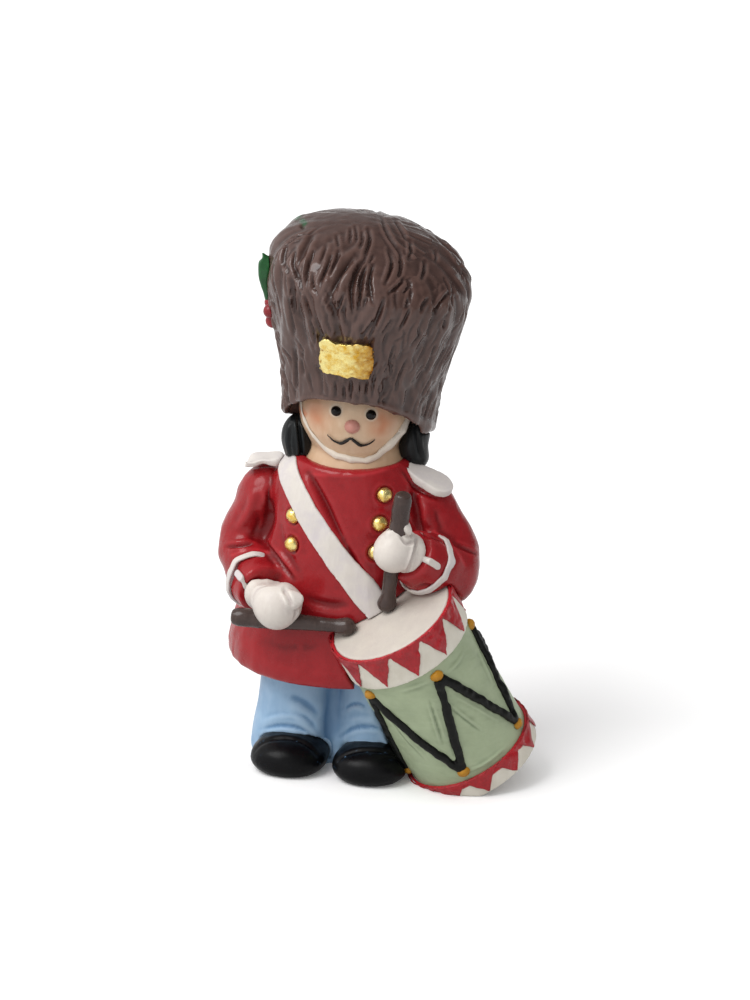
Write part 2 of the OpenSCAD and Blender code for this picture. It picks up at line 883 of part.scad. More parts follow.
module right_glove() {
    color([0.89, 0.86, 0.83])
        figure()
            difference() {
                glove_form(right_arm, right_fist, fist_r, right_thumb);
                arm_form(right_arm, 0);
                coat_form(0);
                right_stick_form(dowel_play);
                wrist_joint(right_arm, dowel_play);
            }
}

module left_glove() {
    color([0.89, 0.86, 0.83])
        figure()
            difference() {
                glove_form(left_arm, left_fist, fist_r * left_fist_share, left_thumb);
                arm_form(left_arm, 0);
                coat_form(0);
                left_stick_form(dowel_play);
                wrist_joint(left_arm, dowel_play);
            }
}

module right_drumstick() {
    color([0.30, 0.23, 0.21])
        figure()
            difference() {
                right_stick_form(0);
                batter_seat();
            }
}

module left_drumstick() {
    color([0.30, 0.23, 0.21])
        figure()
            difference() {
                left_stick_form(0);
                batter_seat();
            }
}

// Everything below the top of the batter head
module batter_seat() {
    in_drum()
        drum_round(shell_r, -head_t, 0);
}

// A round-ended paddle that lies down the slope of the shoulder
module shoulder_strap_form(side) {
    slope = side < 0 ? 14 : 24;
    drop_share = side < 0 ? 0.068 : 0.045;
    translate([side * coat_side * 0.50, -coat_front * 0.06, neckline_z - coat_h * drop_share])
        rotate([8, side * slope, 0])
            hull() {
                translate([side * epaulette_w * 0.35, 0, 0])
                    cylinder(d = epaulette_w * 0.7, h = epaulette_t, $fn = bore_fn);
                translate([side * (epaulette_l - epaulette_w / 2), 0, 0])
                    cylinder(d = epaulette_w, h = epaulette_t, $fn = bore_fn);
            }
}

module right_shoulder_strap() {
    color([0.82, 0.79, 0.75])
        figure()
            difference() {
                shoulder_strap_form(-1);
                coat_form(0);
                arm_form(right_arm, 0);
                sling_form();
            }
}

module left_shoulder_strap() {
    color([0.82, 0.79, 0.75])
        figure()
            difference() {
                shoulder_strap_form(1);
                coat_form(0);
                arm_form(left_arm, 0);
            }
}

module drum_sling() {
    color([0.87, 0.84, 0.81])
        figure()
            difference() {
                sling_form();
                coat_form(0);
                head_form(0);
                arm_form(right_arm, 0);
                arm_form(left_arm, 0);
                drum_room();
            }
}

module coat_button(x, row) {
    z = neckline_z - button_pitch * (row + 0.83);
    translate([x, coat_y(x, z), z])
        facing(coat_way(x, z))
            ball([button_d, button_d, button_d * 0.9]);
}

module right_coat_buttons() {
    color([0.90, 0.72, 0.28])
        figure()
            difference() {
                for (row = [1, 2])
                    coat_button(-button_side * 0.86, row);
                coat_form(0);
                sling_form();
            }
}

module left_coat_buttons() {
    color([0.90, 0.72, 0.28])
        figure()
            difference() {
                for (row = [0 : 2])
                    coat_button(button_side * (1.16 - 0.06 * row), row);
                coat_form(0);
            }
}

module trousers() {
    color([0.55, 0.68, 0.78])
        figure()
            above_ground()
                difference() {
                    union() {
                        leg_form(-1);
                        leg_form(1);
                    }
                    boot_form(-1);
                    boot_form(1);
                    drum_seat();
                    waist_joint(dowel_play);
                }
}

module right_boot() {
    color([0.06, 0.06, 0.06])
        figure()
            above_ground()
                boot_form(-1);
}

module left_boot() {
    color([0.06, 0.06, 0.06])
        figure()
            above_ground()
                difference() {
                    boot_form(1);
                    drum_seat();
                }
}

// The drum, whose foot is cut level with the ground
module drum_shell() {
    color([0.61, 0.65, 0.53])
        figure()
            above_ground()
                difference() {
                    in_drum()
                        drum_round(shell_r, head_t - drum_l, -head_t);
                    drum_joint(dowel_play);
                }
}

module batter_head() {
    color([0.88, 0.85, 0.80])
        figure()
            batter_seat();
}

module bottom_head() {
    color([0.88, 0.85, 0.80])
        figure()
            above_ground()
                in_drum()
                    drum_round(shell_r, -drum_l, head_t - drum_l);
}

module hoop_form(height) {
    difference() {
        drum_round(hoop_r, 0, height);
        drum_round(shell_r, -overrun, height + overrun);
    }
}

module upper_hoop() {
    color([0.88, 0.86, 0.80])
        figure()
            in_drum()
                translate([0, 0, -hoop_h])
                    hoop_form(hoop_h);
}

module lower_hoop() {
    color([0.88, 0.86, 0.80])
        figure()
            above_ground()
                in_drum()
                    translate([0, 0, -drum_l])
                        hoop_form(lower_hoop_h);
}

// Red triangles round a hoop of a height, hanging from its upper edge
module hoop_triangles(height) {
    base = hoop_r * triangle_step * PI / 360;
    intersection() {
        difference() {
            drum_round(rim_r, 0, height);
            drum_round(hoop_r, -overrun, height + overrun);
        }
        for (k = [0 : 360 / triangle_step - 1])
            rotate([0, 0, triangle_angle + k * triangle_step])
                translate([shell_r / 2, 0, 0])
                    rotate([90, 0, 90])
                        linear_extrude(shell_r)
                            polygon([
                                [-base, height], [-base, height * 0.93], [-base * 0.96, height * 0.93],
                                [0, height * 0.06], [base * 0.96, height * 0.93], [base, height * 0.93],
                                [base, height]
                            ]);
    }
}

module upper_hoop_triangles() {
    color([0.67, 0.14, 0.16])
        figure()
            in_drum()
                translate([0, 0, -hoop_h])
                    hoop_triangles(hoop_h);
}

module lower_hoop_triangles() {
    color([0.67, 0.14, 0.16])
        figure()
            above_ground()
                in_drum()
                    translate([0, 0, -drum_l])
                        hoop_triangles(lower_hoop_h);
}

module drum_cords() {
    color([0.14, 0.14, 0.13])
        figure()
            above_ground()
                in_drum()
                    difference() {
                        for (k = [0 : 360 / lug_step - 1])
                            for (turn = [lower_lug_turn, lower_lug_turn + lug_step])
                                cord(lug_angle + k * lug_step, turn);
                        shell_core();
                        all_lugs();
                    }
}

// A cord laid on the shell from an upper lug to a lower one
module cord(start, turn) {
    high = -hoop_h - lug_drop;
    low = lower_hoop_h + lug_drop - drum_l;
    rows = [
        for (i = [0 : 0.2 : 1])
            let (a = start + turn * i)
            [shell_r * cos(a), shell_r * sin(a), high + (low - high) * i, cord_d / 2]
    ];
    skin(tube_rings(rows, cord_sides, [cos(start + turn / 2), sin(start + turn / 2), 0]));
}

module upper_lugs() {
    color([0.72, 0.52, 0.16])
        figure()
            in_drum()
                difference() {
                    lug_balls(-hoop_h - lug_drop, 0);
                    shell_core();
                }
}

module lower_lugs() {
    color([0.72, 0.52, 0.16])
        figure()
            above_ground()
                in_drum()
                    difference() {
                        lug_balls(lower_hoop_h + lug_drop - drum_l, lower_lug_turn);
                        shell_core();
                    }
}

// Dowels and their holes, from one place each
module neck_joint(play) {
    dowel([head_at.x, head_at.y, neckline_z - neck_seat], [0, 0, 1], dowel_l + 2 * play, dowel_d + 2 * play);
}

module cap_joint(play) {
    dowel(head_at + [0, 0, head_r], [0, 0, 1], dowel_l + 2 * play, dowel_d + 2 * play);
}

module waist_joint(play) {
    for (side = [-1, 1])
        dowel([side * leg_side * 0.9, leg_r * 0.35, hem_z], [0, 0, 1], dowel_l + 2 * play,
            dowel_d + 2 * play);
}

module arm_joint(play) {
    for (side = [-1, 1])
        dowel([side * coat_side * 0.67, coat_front * 0.02, hem_z + coat_h * 0.70], [1, 0, 0],
            dowel_l + 2 * play, dowel_d + 2 * play);
}

module wrist_joint(arm, play) {
    stop = len(arm) - 1;
    dowel(point(arm[stop]), arm_way(arm, stop - 0.1), dowel_l * 0.75 + 2 * play, dowel_d * 0.8 + 2 * play);
}

module drum_joint(play) {
    dowel(drum_at - drum_n * drum_l * 0.16 - drum_y * shell_r, drum_y, dowel_l + 2 * play,
        dowel_d + 2 * play);
}

module neck_dowel() {
    color([0.75, 0.62, 0.42])
        figure()
            neck_joint(0);
}

module cap_dowel() {
    color([0.75, 0.62, 0.42])
        figure()
            cap_joint(0);
}

module waist_dowels() {
    color([0.75, 0.62, 0.42])
        figure()
            waist_joint(0);
}

module arm_dowels() {
    color([0.75, 0.62, 0.42])
        figure()
            arm_joint(0);
}

module wrist_dowels() {
    color([0.75, 0.62, 0.42])
        figure() {
            wrist_joint(right_arm, 0);
            wrist_joint(left_arm, 0);
        }
}

module drum_dowel() {
    color([0.75, 0.62, 0.42])
        figure()
            drum_joint(0);
}

bearskin_cap();
cap_plate();
holly_leaves();
holly_berries();
head();
nose();
eyes();
moustache();
chin_strap();
right_hair_lock();
left_hair_lock();
coat();
right_sleeve();
left_sleeve();
right_cuff_braid();
left_cuff_braid();
right_cuff_tab();
left_cuff_tab();
right_glove();
left_glove();
right_drumstick();
left_drumstick();
right_shoulder_strap();
left_shoulder_strap();
drum_sling();
right_coat_buttons();
left_coat_buttons();
trousers();
right_boot();
left_boot();
drum_shell();
batter_head();
bottom_head();
upper_hoop();
lower_hoop();
upper_hoop_triangles();
lower_hoop_triangles();
drum_cords();
upper_lugs();
lower_lugs();
neck_dowel();
cap_dowel();
waist_dowels();
arm_dowels();
wrist_dowels();
drum_dowel();
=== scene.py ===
import math

import bmesh
import bpy
import numpy as np
from mathutils import Matrix, Vector


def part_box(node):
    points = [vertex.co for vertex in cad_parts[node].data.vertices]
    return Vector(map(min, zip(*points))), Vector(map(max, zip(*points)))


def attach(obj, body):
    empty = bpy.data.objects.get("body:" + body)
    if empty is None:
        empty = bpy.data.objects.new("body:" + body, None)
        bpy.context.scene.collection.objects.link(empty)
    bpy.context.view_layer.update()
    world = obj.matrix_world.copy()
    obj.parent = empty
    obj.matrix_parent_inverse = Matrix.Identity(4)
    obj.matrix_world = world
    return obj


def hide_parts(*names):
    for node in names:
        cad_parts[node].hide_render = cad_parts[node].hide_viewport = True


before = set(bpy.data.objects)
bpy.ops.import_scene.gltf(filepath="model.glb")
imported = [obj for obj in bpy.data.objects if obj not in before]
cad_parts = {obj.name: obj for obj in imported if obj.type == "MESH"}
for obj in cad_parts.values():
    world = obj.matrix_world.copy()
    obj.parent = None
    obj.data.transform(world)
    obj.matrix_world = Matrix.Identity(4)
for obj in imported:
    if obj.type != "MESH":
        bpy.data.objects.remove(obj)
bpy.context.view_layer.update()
MM = 0.001
scene = bpy.context.scene

# Camera
# A long lens, 16 degrees to the figure's left and 22 degrees above it. One pixel of the picture is
# 0.186 mm at the figure, and the foot of the body's axis falls on pixel (346, 751). The neck stands
# at NECK_PLACE from that foot, in mm.
PICTURE = (750, 1000)
PIXEL = 0.186
AZIMUTH, ELEVATION = math.radians(16), math.radians(22)
FOOT_PIXEL = (346, 751)
NECK_PLACE = (1.35, 2.015)
AHEAD = 15
LENS = 500
SENSOR = 36

right = Vector((math.cos(AZIMUTH), math.sin(AZIMUTH), 0))
toward = Vector(
    (math.sin(AZIMUTH) * math.cos(ELEVATION), -math.cos(AZIMUTH) * math.cos(ELEVATION), math.sin(ELEVATION))
)
upward = toward.cross(right)
neck = (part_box("neck_dowel")[0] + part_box("neck_dowel")[1]) / 2 / MM
foot = Vector((neck.x - NECK_PLACE[0], neck.y - NECK_PLACE[1], 0))
middle = (
    foot + right * (
        PICTURE[0] / 2 - FOOT_PIXEL[0]
    ) * PIXEL + upward * (FOOT_PIXEL[1] - PICTURE[1] / 2) * PIXEL + toward * AHEAD
)
lens = bpy.data.cameras.new("camera")
lens.lens = LENS
lens.sensor_width = SENSOR
lens.clip_start, lens.clip_end = 0.1, 10
camera = bpy.data.objects.new("camera", lens)
scene.collection.objects.link(camera)
turn = Matrix((right, upward, toward)).transposed().to_4x4()
distance = PIXEL * PICTURE[1] * LENS / SENSOR
camera.matrix_world = Matrix.Translation((middle + toward * distance) * MM) @ turn
scene.camera = camera
# The same directions and the foot of the body's axis, for the corners of the meshes
RIGHT, UP, TOWARD, FOOT = (np.array(way) for way in (right, upward, toward, foot))


def feed(made, plugs):
    """Feeds a shader node. A plug is a value, a socket, or a node whose first output is meant."""
    for name, value in dict(plugs).items():
        if isinstance(value, bpy.types.Node):
            value = value.outputs[0]
        if isinstance(value, bpy.types.NodeSocket):
            made.id_data.links.new(value, made.inputs[name])
        else:
            made.inputs[name].default_value = value


def node(tree, kind, plugs=(), **settings):
    """One shader node with its settings and what feeds it."""
    made = tree.nodes.new("ShaderNode" + kind)
    for name, value in settings.items():
        setattr(made, name, value)
    feed(made, plugs)
    return made


def paint(code):
    """The linear colour of an sRGB hex value."""
    parts = [int(code[i : i + 2], 16) / 255 for i in (1, 3, 5)]
    return [c / 12.92 if c <= 0.04045 else ((c + 0.055) / 1.055) ** 2.4 for c in parts] + [1]


def shown_by(tree):
    """1 for the rays that show the background: the camera's, and those that metal and glass send on."""
    path = node(tree, "LightPath")
    mirrored = node(
        tree, "Math", {0: path.outputs["Is Camera Ray"], 1: path.outputs["Is Glossy Ray"]},
        operation="MAXIMUM"
    )
    passed = node(tree, "Math", {0: mirrored, 1: path.outputs["Is Transmission Ray"]}, operation="MAXIMUM")
    return passed


# Floor and light
# A white sweep that shows only the figure's soft shadow, one large soft lamp from the upper left,
# and a white room that lights more from above left and is mirrored brightest from the front left.
FLOOR_SIDE = 6
FLOOR_DROP = 0.00002
ROOM_BRIGHT_SIDE = (-0.6, -0.35, -0.25)
ROOM_LIGHT_SIDE = (-0.36, -0.18, 0.4)
LIT_GREY, MIRRORED_GREY, WHITE = (0.6, 0.6, 0.6, 1), (0.72, 0.72, 0.72, 1), (1, 1, 1, 1)
BOARD_LIFT = 0.05

floor_form = bmesh.new()
bmesh.ops.create_grid(floor_form, size=FLOOR_SIDE / 2)
floor_mesh = bpy.data.meshes.new("floor")
floor_form.to_mesh(floor_mesh)
floor_form.free()
floor = bpy.data.objects.new("floor", floor_mesh)
floor.location.z = -FLOOR_DROP
scene.collection.objects.link(floor)

# Matt white board: the camera sees it a little over white, so that only the shadow darkens it
board = bpy.data.materials.new("white_board")
board.use_nodes = True
tree = board.node_tree
tree.nodes.clear()
matt = node(tree, "BsdfDiffuse", {"Color": LIT_GREY})
sight = node(tree, "LightPath")
# Metal and gloss mirror the board as a pale grey, so that it doesn't wash out the cap's lower part
board_white = node(
    tree, "MixRGB", {"Fac": sight.outputs["Is Camera Ray"], "Color1": MIRRORED_GREY, "Color2": WHITE}
)
bright = node(tree, "BsdfDiffuse", {"Color": board_white})
lift = node(tree, "Emission", {"Color": WHITE, "Strength": BOARD_LIFT})
lifted = node(tree, "AddShader", {0: bright, 1: lift})
either = node(tree, "MixShader", {0: shown_by(tree), 1: matt, 2: lifted})
node(tree, "OutputMaterial", {"Surface": either})
floor_mesh.materials.append(board)

room = bpy.data.worlds.new("room")
scene.world = room
room.use_nodes = True
tree = room.node_tree
tree.nodes.clear()
way = node(tree, "TexCoord")
aside = node(tree, "VectorMath", {0: way.outputs["Generated"], 1: ROOM_BRIGHT_SIDE}, operation="DOT_PRODUCT")
above = node(tree, "VectorMath", {0: way.outputs["Generated"], 1: ROOM_LIGHT_SIDE}, operation="DOT_PRODUCT")
dim = node(
    tree, "MapRange",
    {"Value": above.outputs["Value"], "From Min": -0.6, "From Max": 0.6, "To Min": 0.25, "To Max": 1.0}
)
shown = node(
    tree, "MapRange",
    {"Value": aside.outputs["Value"], "From Min": -0.4, "From Max": 0.35, "To Min": 0.15, "To Max": 1.0}
)
level = node(tree, "Mix", {0: shown_by(tree), 2: dim.outputs["Result"], 3: shown.outputs["Result"]})
sight = node(tree, "LightPath")
white = node(tree, "Math", {0: level, 1: sight.outputs["Is Camera Ray"]}, operation="MAXIMUM")
pale = node(tree, "Background", {"Color": WHITE, "Strength": white})
node(tree, "OutputWorld", {"Surface": pale})

LAMP_SIZE = 1.5
LAMP_POWER = 29.0
LAMP_PLACE, LAMP_AIM = Vector((-0.95, -0.88, 1.8)), Vector((0, 0, 0.05))
lamp = bpy.data.lights.new("window", "AREA")
lamp.shape = "DISK"
lamp.size = LAMP_SIZE
lamp.energy = LAMP_POWER
window = bpy.data.objects.new("window", lamp)
scene.collection.objects.link(window)
window.location = LAMP_PLACE
window.rotation_euler = (LAMP_AIM - LAMP_PLACE).to_track_quat("-Z", "Y").to_euler()

scene.view_settings.view_transform = "Standard"

# Coat and sleeves
# The tunic is one casting with its sleeves: resin from a mould of a hand-modelled master, so it has
# thumb-soft folds and small dents, brushed with crimson acrylic over a dark wash, with painted shade in the
# folds.
GRAIN_COAT = 0.34
# Corners nearer than this in mm are merged, and islands of fewer corners than this are dropped
MERGE, STRAY_CORNERS = 0.002, 40
# Hollows take painted shade and ridges a painted highlight, by these two limits
# How far in mm a corner lies under its neighbours in a full hollow, and where the ridges start
FULL_HOLLOW, RIDGE_START = 0.1, 0.25


def mesh_of(name, *nodes):
    """The solids of some CAD nodes as one mesh whose corners are merged."""
    form = bmesh.new()
    for part in nodes:
        form.from_mesh(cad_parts[part].data)
    bmesh.ops.remove_doubles(form, verts=form.verts, dist=MERGE * MM)
    mesh = bpy.data.meshes.new(name)
    form.to_mesh(mesh)
    form.free()
    return mesh


def casting(name, slot, grain, *nodes, rubs=6, swell=0.0):
    """A piece that replaces the CAD node of its name, or some others: their solids, filled as one skin of a
    grain in mm and rubbed."""
    nodes = nodes or (name,)
    mesh = mesh_of(name, *nodes)
    piece = bpy.data.objects.new("painted_" + name, mesh)
    if swell:
        push(piece, np.full(len(mesh.vertices), swell))
    scene.collection.objects.link(piece)
    shell = piece.modifiers.new("skin", "REMESH")
    shell.mode = "VOXEL"
    shell.voxel_size = grain * MM
    shell.use_smooth_shade = True
    bpy.context.view_layer.update()
    baked = bpy.data.meshes.new_from_object(piece.evaluated_get(bpy.context.evaluated_depsgraph_get()))
    piece.modifiers.clear()
    piece.data = baked
    bpy.data.meshes.remove(mesh)
    baked.name = "painted_" + name
    keep_outside(piece)
    rub(piece, rubs)
    put_points(piece, points_of(piece))
    baked.shade_smooth()
    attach(piece, "root")
    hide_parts(*nodes)
    return piece


def rub(piece, times, chosen=None):
    """Rubs a piece smooth, or only its chosen corners."""
    form = bmesh.new()
    form.from_mesh(piece.data)
    corners = form.verts if chosen is None else [v for v in form.verts if chosen[v.index]]
    for _ in range(times):
        bmesh.ops.smooth_vert(
            form, verts=corners, factor=0.5, use_axis_x=True, use_axis_y=True, use_axis_z=True
        )
    form.to_mesh(piece.data)
    form.free()


def islands(form):
    """The separate skins of a form, each as a set of its corners."""
    left = set(form.verts)
    found = []
    while left:
        first = left.pop()
        island, edge = {first}, [first]
        while edge:
            corner = edge.pop()
            for link in corner.link_edges:
                other = link.other_vert(corner)
                if other in left:
                    left.discard(other)
                    island.add(other)
                    edge.append(other)
        found.append(island)
    return found


def keep_outside(piece):
    """Drops what the filling leaves inside a skin: its small islands."""
    form = bmesh.new()
    form.from_mesh(piece.data)
    stray = [corner for island in islands(form) if len(island) < STRAY_CORNERS for corner in island]
    if stray:
        bmesh.ops.delete(form, geom=stray, context="VERTS")
        form.to_mesh(piece.data)
    form.free()


def points_of(piece):
    """Corners in mm from the foot of the body's axis."""
    flat = np.empty(len(piece.data.vertices) * 3)
    piece.data.vertices.foreach_get("co", flat)
    return flat.reshape(-1, 3) / MM - FOOT


def ways_of(piece):
    """The way that each corner faces."""
    flat = np.empty(len(piece.data.vertices) * 3)
    piece.data.vertex_normals.foreach_get("vector", flat)
    return flat.reshape(-1, 3)


def facing(piece):
    """How far each corner faces the camera: 1 straight at it, -1 straight away."""
    return ways_of(piece) @ TOWARD


def put_points(piece, points):
    """Moves the corners, none of them under the ground."""
    points = np.concatenate([points[:, :2], np.maximum(points[:, 2:], 0)], axis=1)
    piece.data.vertices.foreach_set("co", ((points + FOOT) * MM).ravel())
    piece.data.update()


def push(piece, heights):
    """Moves each corner out of its surface by a height in mm."""
    put_points(piece, points_of(piece) + ways_of(piece) * heights[:, None])


def ripple(points, size, seed):
    """Smooth noise from -1 to 1 whose lumps have a size in mm, or one size for each axis."""
    spot = points / np.asarray(size, float)
    cell = np.floor(spot).astype(np.int64)
    part = spot - cell
    part = part * part * (3 - 2 * part)
    total = np.zeros(len(points))
    for corner in range(8):
        step = np.array([corner & 1, corner >> 1 & 1, corner >> 2 & 1])
        x, y, z = ((cell + step) * np.array([73856093, 19349663, 83492791])).T
        code = (x ^ y ^ z ^ (seed * 2654435761)) & 0xFFFFFFFF
        code = (code ^ (code >> 15)) * 2246822519 & 0xFFFFFFFF
        code = (code ^ (code >> 13)) * 3266489917 & 0xFFFFFFFF
        code = code ^ (code >> 16)
        share = np.prod(np.where(step, part, 1 - part), axis=1)
        total += share * (code / 0x7FFFFFFF - 1)
    return total


def dent(piece, *lumps, more=0):
    """Pushes a piece out and in by some ripples, each a height and a size in mm and a seed, and by more."""
    points = points_of(piece)
    push(piece, sum(height * ripple(points, size, seed) for height, size, seed in lumps) + more)


def bell(reach):
    """1 at nought, fading to 0 at both sides."""
    return np.exp(-(reach**2))


def seen_at(points):
    """Where corners fall in the picture, in pixels."""
    across = points @ RIGHT / PIXEL + FOOT_PIXEL[0]
    down = FOOT_PIXEL[1] - points @ UP / PIXEL
    return np.stack([across, down], axis=1)


def smooth_line(path):
    """The line with its corners cut twice, so that it bends softly."""
    path = np.asarray(path, float)
    for _ in range(2):
        if len(path) < 3:
            break
        quarters = np.stack([0.75 * path[:-1] + 0.25 * path[1:], 0.25 * path[:-1] + 0.75 * path[1:]], axis=1)
        path = np.concatenate([path[:1], quarters.reshape(-1, path.shape[1])[1:-1], path[-1:]])
    return path


def to_path(spots, path):
    """Distance from each spot to an open line, its side, and how far along the line that is."""
    path = smooth_line(path)
    best = np.full(len(spots), 1e9)
    side = np.zeros(len(spots))
    along = np.zeros(len(spots))
    lengths = np.linalg.norm(path[1:] - path[:-1], axis=1)
    done = np.concatenate([[0], np.cumsum(lengths)]) / lengths.sum()
    for i, (a, b) in enumerate(zip(path[:-1], path[1:])):
        step = b - a
        t = np.clip((spots - a) @ step / (step @ step), 0, 1)
        gap = spots - a - t[:, None] * step
        reach = np.linalg.norm(gap, axis=1)
        nearer = reach < best
        best = np.where(nearer, reach, best)
        turned = np.sign(step[0] * gap[:, 1] - step[1] * gap[:, 0])
        side = np.where(nearer, turned, side)
        along = np.where(nearer, done[i] + t * (done[i + 1] - done[i]), along)
    return best, side, along


def fold(piece, *folds):
    """Presses folds into what the camera sees. Each is a line and a half width in pixels, a depth in mm
    and the height of the ridge at its left and at its right."""
    points = points_of(piece)
    spots = seen_at(points)
    turned = np.clip(facing(piece) * 2.2, 0, 1)
    heights = np.zeros(len(points))
    for path, width, depth, left, rise in folds:
        low, high = np.min(path, axis=0) - 5 * width, np.max(path, axis=0) + 5 * width
        near = np.where(np.all((spots > low) & (spots < high), axis=1) & (turned > 0))[0]
        if not len(near):
            continue
        gap, side, along = to_path(spots[near], path)
        fade = np.sin(np.pi * np.clip(along, 0.02, 0.98)) ** 0.6
        groove = -depth * bell(gap / width)
        lips = bell(gap / width - 1.9) * np.where(side < 0, left, rise)
        heights[near] += (groove + lips) * fade * turned[near]
    push(piece, heights)


def nudge(piece, *moves):
    """Draws small parts of a piece aside, as a modelling tool would. Each move is a spot, a shift and a
    reach, all in pixels of the picture."""
    points = points_of(piece)
    spots = seen_at(points)
    shifts = np.zeros((len(points), 2))
    for spot, shift, reach in moves:
        share = bell(np.linalg.norm(spots - np.array(spot), axis=1) / reach)
        shifts += share[:, None] * np.array(shift)
    put_points(piece, points + (shifts[:, :1] * RIGHT - shifts[:, 1:] * UP) * PIXEL)


def dab(points, spots, reach):
    """1 at some spots of the picture, fading to 0 a reach away, all in pixels."""
    seen = seen_at(points)
    return np.max([bell(np.linalg.norm(seen - np.array(s), axis=1) / reach) for s in spots], axis=0)


def stain(piece, name, values):
    """Keeps a number from 0 to 1 at each corner for the paint to read."""
    layer = piece.data.attributes.get(name) or piece.data.attributes.new(name, "FLOAT", "POINT")
    layer.data.foreach_set("value", np.clip(values, 0, 1).astype(np.float32))


def hollows(piece, reach, more):
    """Stains the hollows of a piece, and its ridges: how far each corner lies under or over its neighbours,
    for the painted shade in the hollows and the painted highlight on the ridges. More is added to the
    hollows, as more painted shade."""
    ends = np.empty(len(piece.data.edges) * 2, np.int64)
    piece.data.edges.foreach_get("vertices", ends)
    ends = ends.reshape(-1, 2)
    points = points_of(piece)
    count = np.bincount(ends.ravel(), minlength=len(points))[:, None]
    mean = points
    for _ in range(reach * 3):
        total = np.zeros_like(points)
        np.add.at(total, ends[:, 0], mean[ends[:, 1]])
        np.add.at(total, ends[:, 1], mean[ends[:, 0]])
        mean = total / np.maximum(count, 1)
    depth = np.einsum("ij,ij->i", mean - points, ways_of(piece))
    stain(piece, "hollow_shade", depth / FULL_HOLLOW + more)
    stain(piece, "ridge", -depth / FULL_HOLLOW - RIDGE_START)


def new_paint(name):
    """A new material, its tree, its skin and the pieces' own coordinates."""
    made = bpy.data.materials.new(name)
    made.use_nodes = True
    tree = made.node_tree
    return made, tree, tree.nodes["Principled BSDF"], node(tree, "TexCoord").outputs["Object"]


def acrylic(
    name, tone, shade, glow, rough=0.42, strokes=(0.9, 0.9, 5.0), lean=(0, 0, 0), brush=0.05, mottle=0.35,
    wash_and_shade=0.7, drybrush_highlight=0.25, gloss=0.45, over=None
):
    """Brushed acrylic paint. Strokes are the size of a brush mark in mm, and lean is its turn in degrees.
    The shade colour pools in the hollows as a dark wash and painted shade, the glow colour is a painted
    highlight on the ridges and also shows in thin paint, and over is laid where stained."""
    made, tree, skin, place = new_paint(name)
    laid = node(
        tree, "Mapping",
        {
            "Vector": place, "Rotation": [math.radians(turn) for turn in lean],
            "Scale": [1 / (MM * s) for s in strokes]
        }
    )
    marks = node(
        tree, "TexNoise", {"Vector": laid, "Scale": 1.0, "Detail": 3.0, "Roughness": 0.55, "Distortion": 0.4}
    )
    clouds = node(
        tree, "TexNoise", {"Vector": place, "Scale": 1 / (5 * MM), "Detail": 4.0, "Roughness": 0.6}
    )
    thick = node(
        tree, "MapRange",
        {"Value": clouds.outputs["Fac"], "From Min": 0.38, "From Max": 0.68, "To Max": mottle}
    )
    base = node(tree, "MixRGB", {"Fac": thick, "Color1": paint(tone), "Color2": paint(shade)})
    streak = node(
        tree, "MapRange",
        {"Value": marks.outputs["Fac"], "From Min": 0.5, "From Max": 0.75, "To Max": mottle * 0.8}
    )
    streaked = node(tree, "MixRGB", {"Fac": streak, "Color1": base, "Color2": paint(glow)})
    # Painted shade: the shade colour is laid in the hollows, partly a dark wash and partly the shade that
    # falls there
    hollow_shade = node(tree, "Attribute", attribute_name="hollow_shade")
    pooled = node(tree, "Math", {0: hollow_shade.outputs["Fac"], 1: wash_and_shade}, operation="MULTIPLY", use_clamp=True)
    washed = node(tree, "MixRGB", {"Fac": pooled, "Color1": streaked, "Color2": paint(shade)})
    # Painted highlight: the glow colour is laid on the ridges
    ridge = node(tree, "Attribute", attribute_name="ridge")
    caught = node(tree, "Math", {0: ridge.outputs["Fac"], 1: drybrush_highlight}, operation="MULTIPLY", use_clamp=True)
    lit = node(tree, "MixRGB", {"Fac": caught, "Color1": washed, "Color2": paint(glow)})
    colour = lit
    if over:
        laid_on = node(tree, "Attribute", attribute_name="over").outputs["Fac"]
        colour = node(tree, "MixRGB", {"Fac": laid_on, "Color1": lit, "Color2": paint(over)})
    grain = node(
        tree, "TexNoise", {"Vector": place, "Scale": 1 / (0.7 * MM), "Detail": 3.0, "Roughness": 0.6}
    )
    relief = node(
        tree, "Math", {0: grain.outputs["Fac"], 1: 0.6, 2: marks.outputs["Fac"]}, operation="MULTIPLY_ADD"
    )
    raised = node(tree, "Bump", {"Height": relief, "Distance": brush * MM})
    worn = node(
        tree, "MapRange",
        {
            "Value": clouds.outputs["Fac"], "From Min": 0.3, "From Max": 0.7,
            "To Min": max(rough - 0.08, 0.05), "To Max": rough + 0.1
        }
    )
    feed(skin, {"Base Color": colour, "Normal": raised, "Roughness": worn, "IOR": 1.45})
    feed(skin, {"Specular IOR Level": gloss})
    return made


def finish(piece, material, reach=3, more=0):
    """Stains a finished form's hollows and ridges for painted shade and highlights, and lays its paint on
    it.
    """
    hollows(piece, reach, more)
    piece.data.materials.clear()
    piece.data.materials.append(material)


# Crimson acrylic, brushed down the coat: satin, with a dark wash and painted shade in the folds and painted
# highlights on the ridges
crimson = acrylic(
    "crimson_acrylic", "#98191f", "#55080c", "#b03237", rough=0.24, strokes=(1.6, 1.6, 3.2), lean=(0, 12, 0),
    brush=0.06, mottle=0.2, wash_and_shade=0.6, drybrush_highlight=0.24, gloss=0.36, over="#c5343b"
)
coat = casting("coat", "coat_red", GRAIN_COAT, "coat", "right_sleeve", "left_sleeve", rubs=12, swell=0.06)
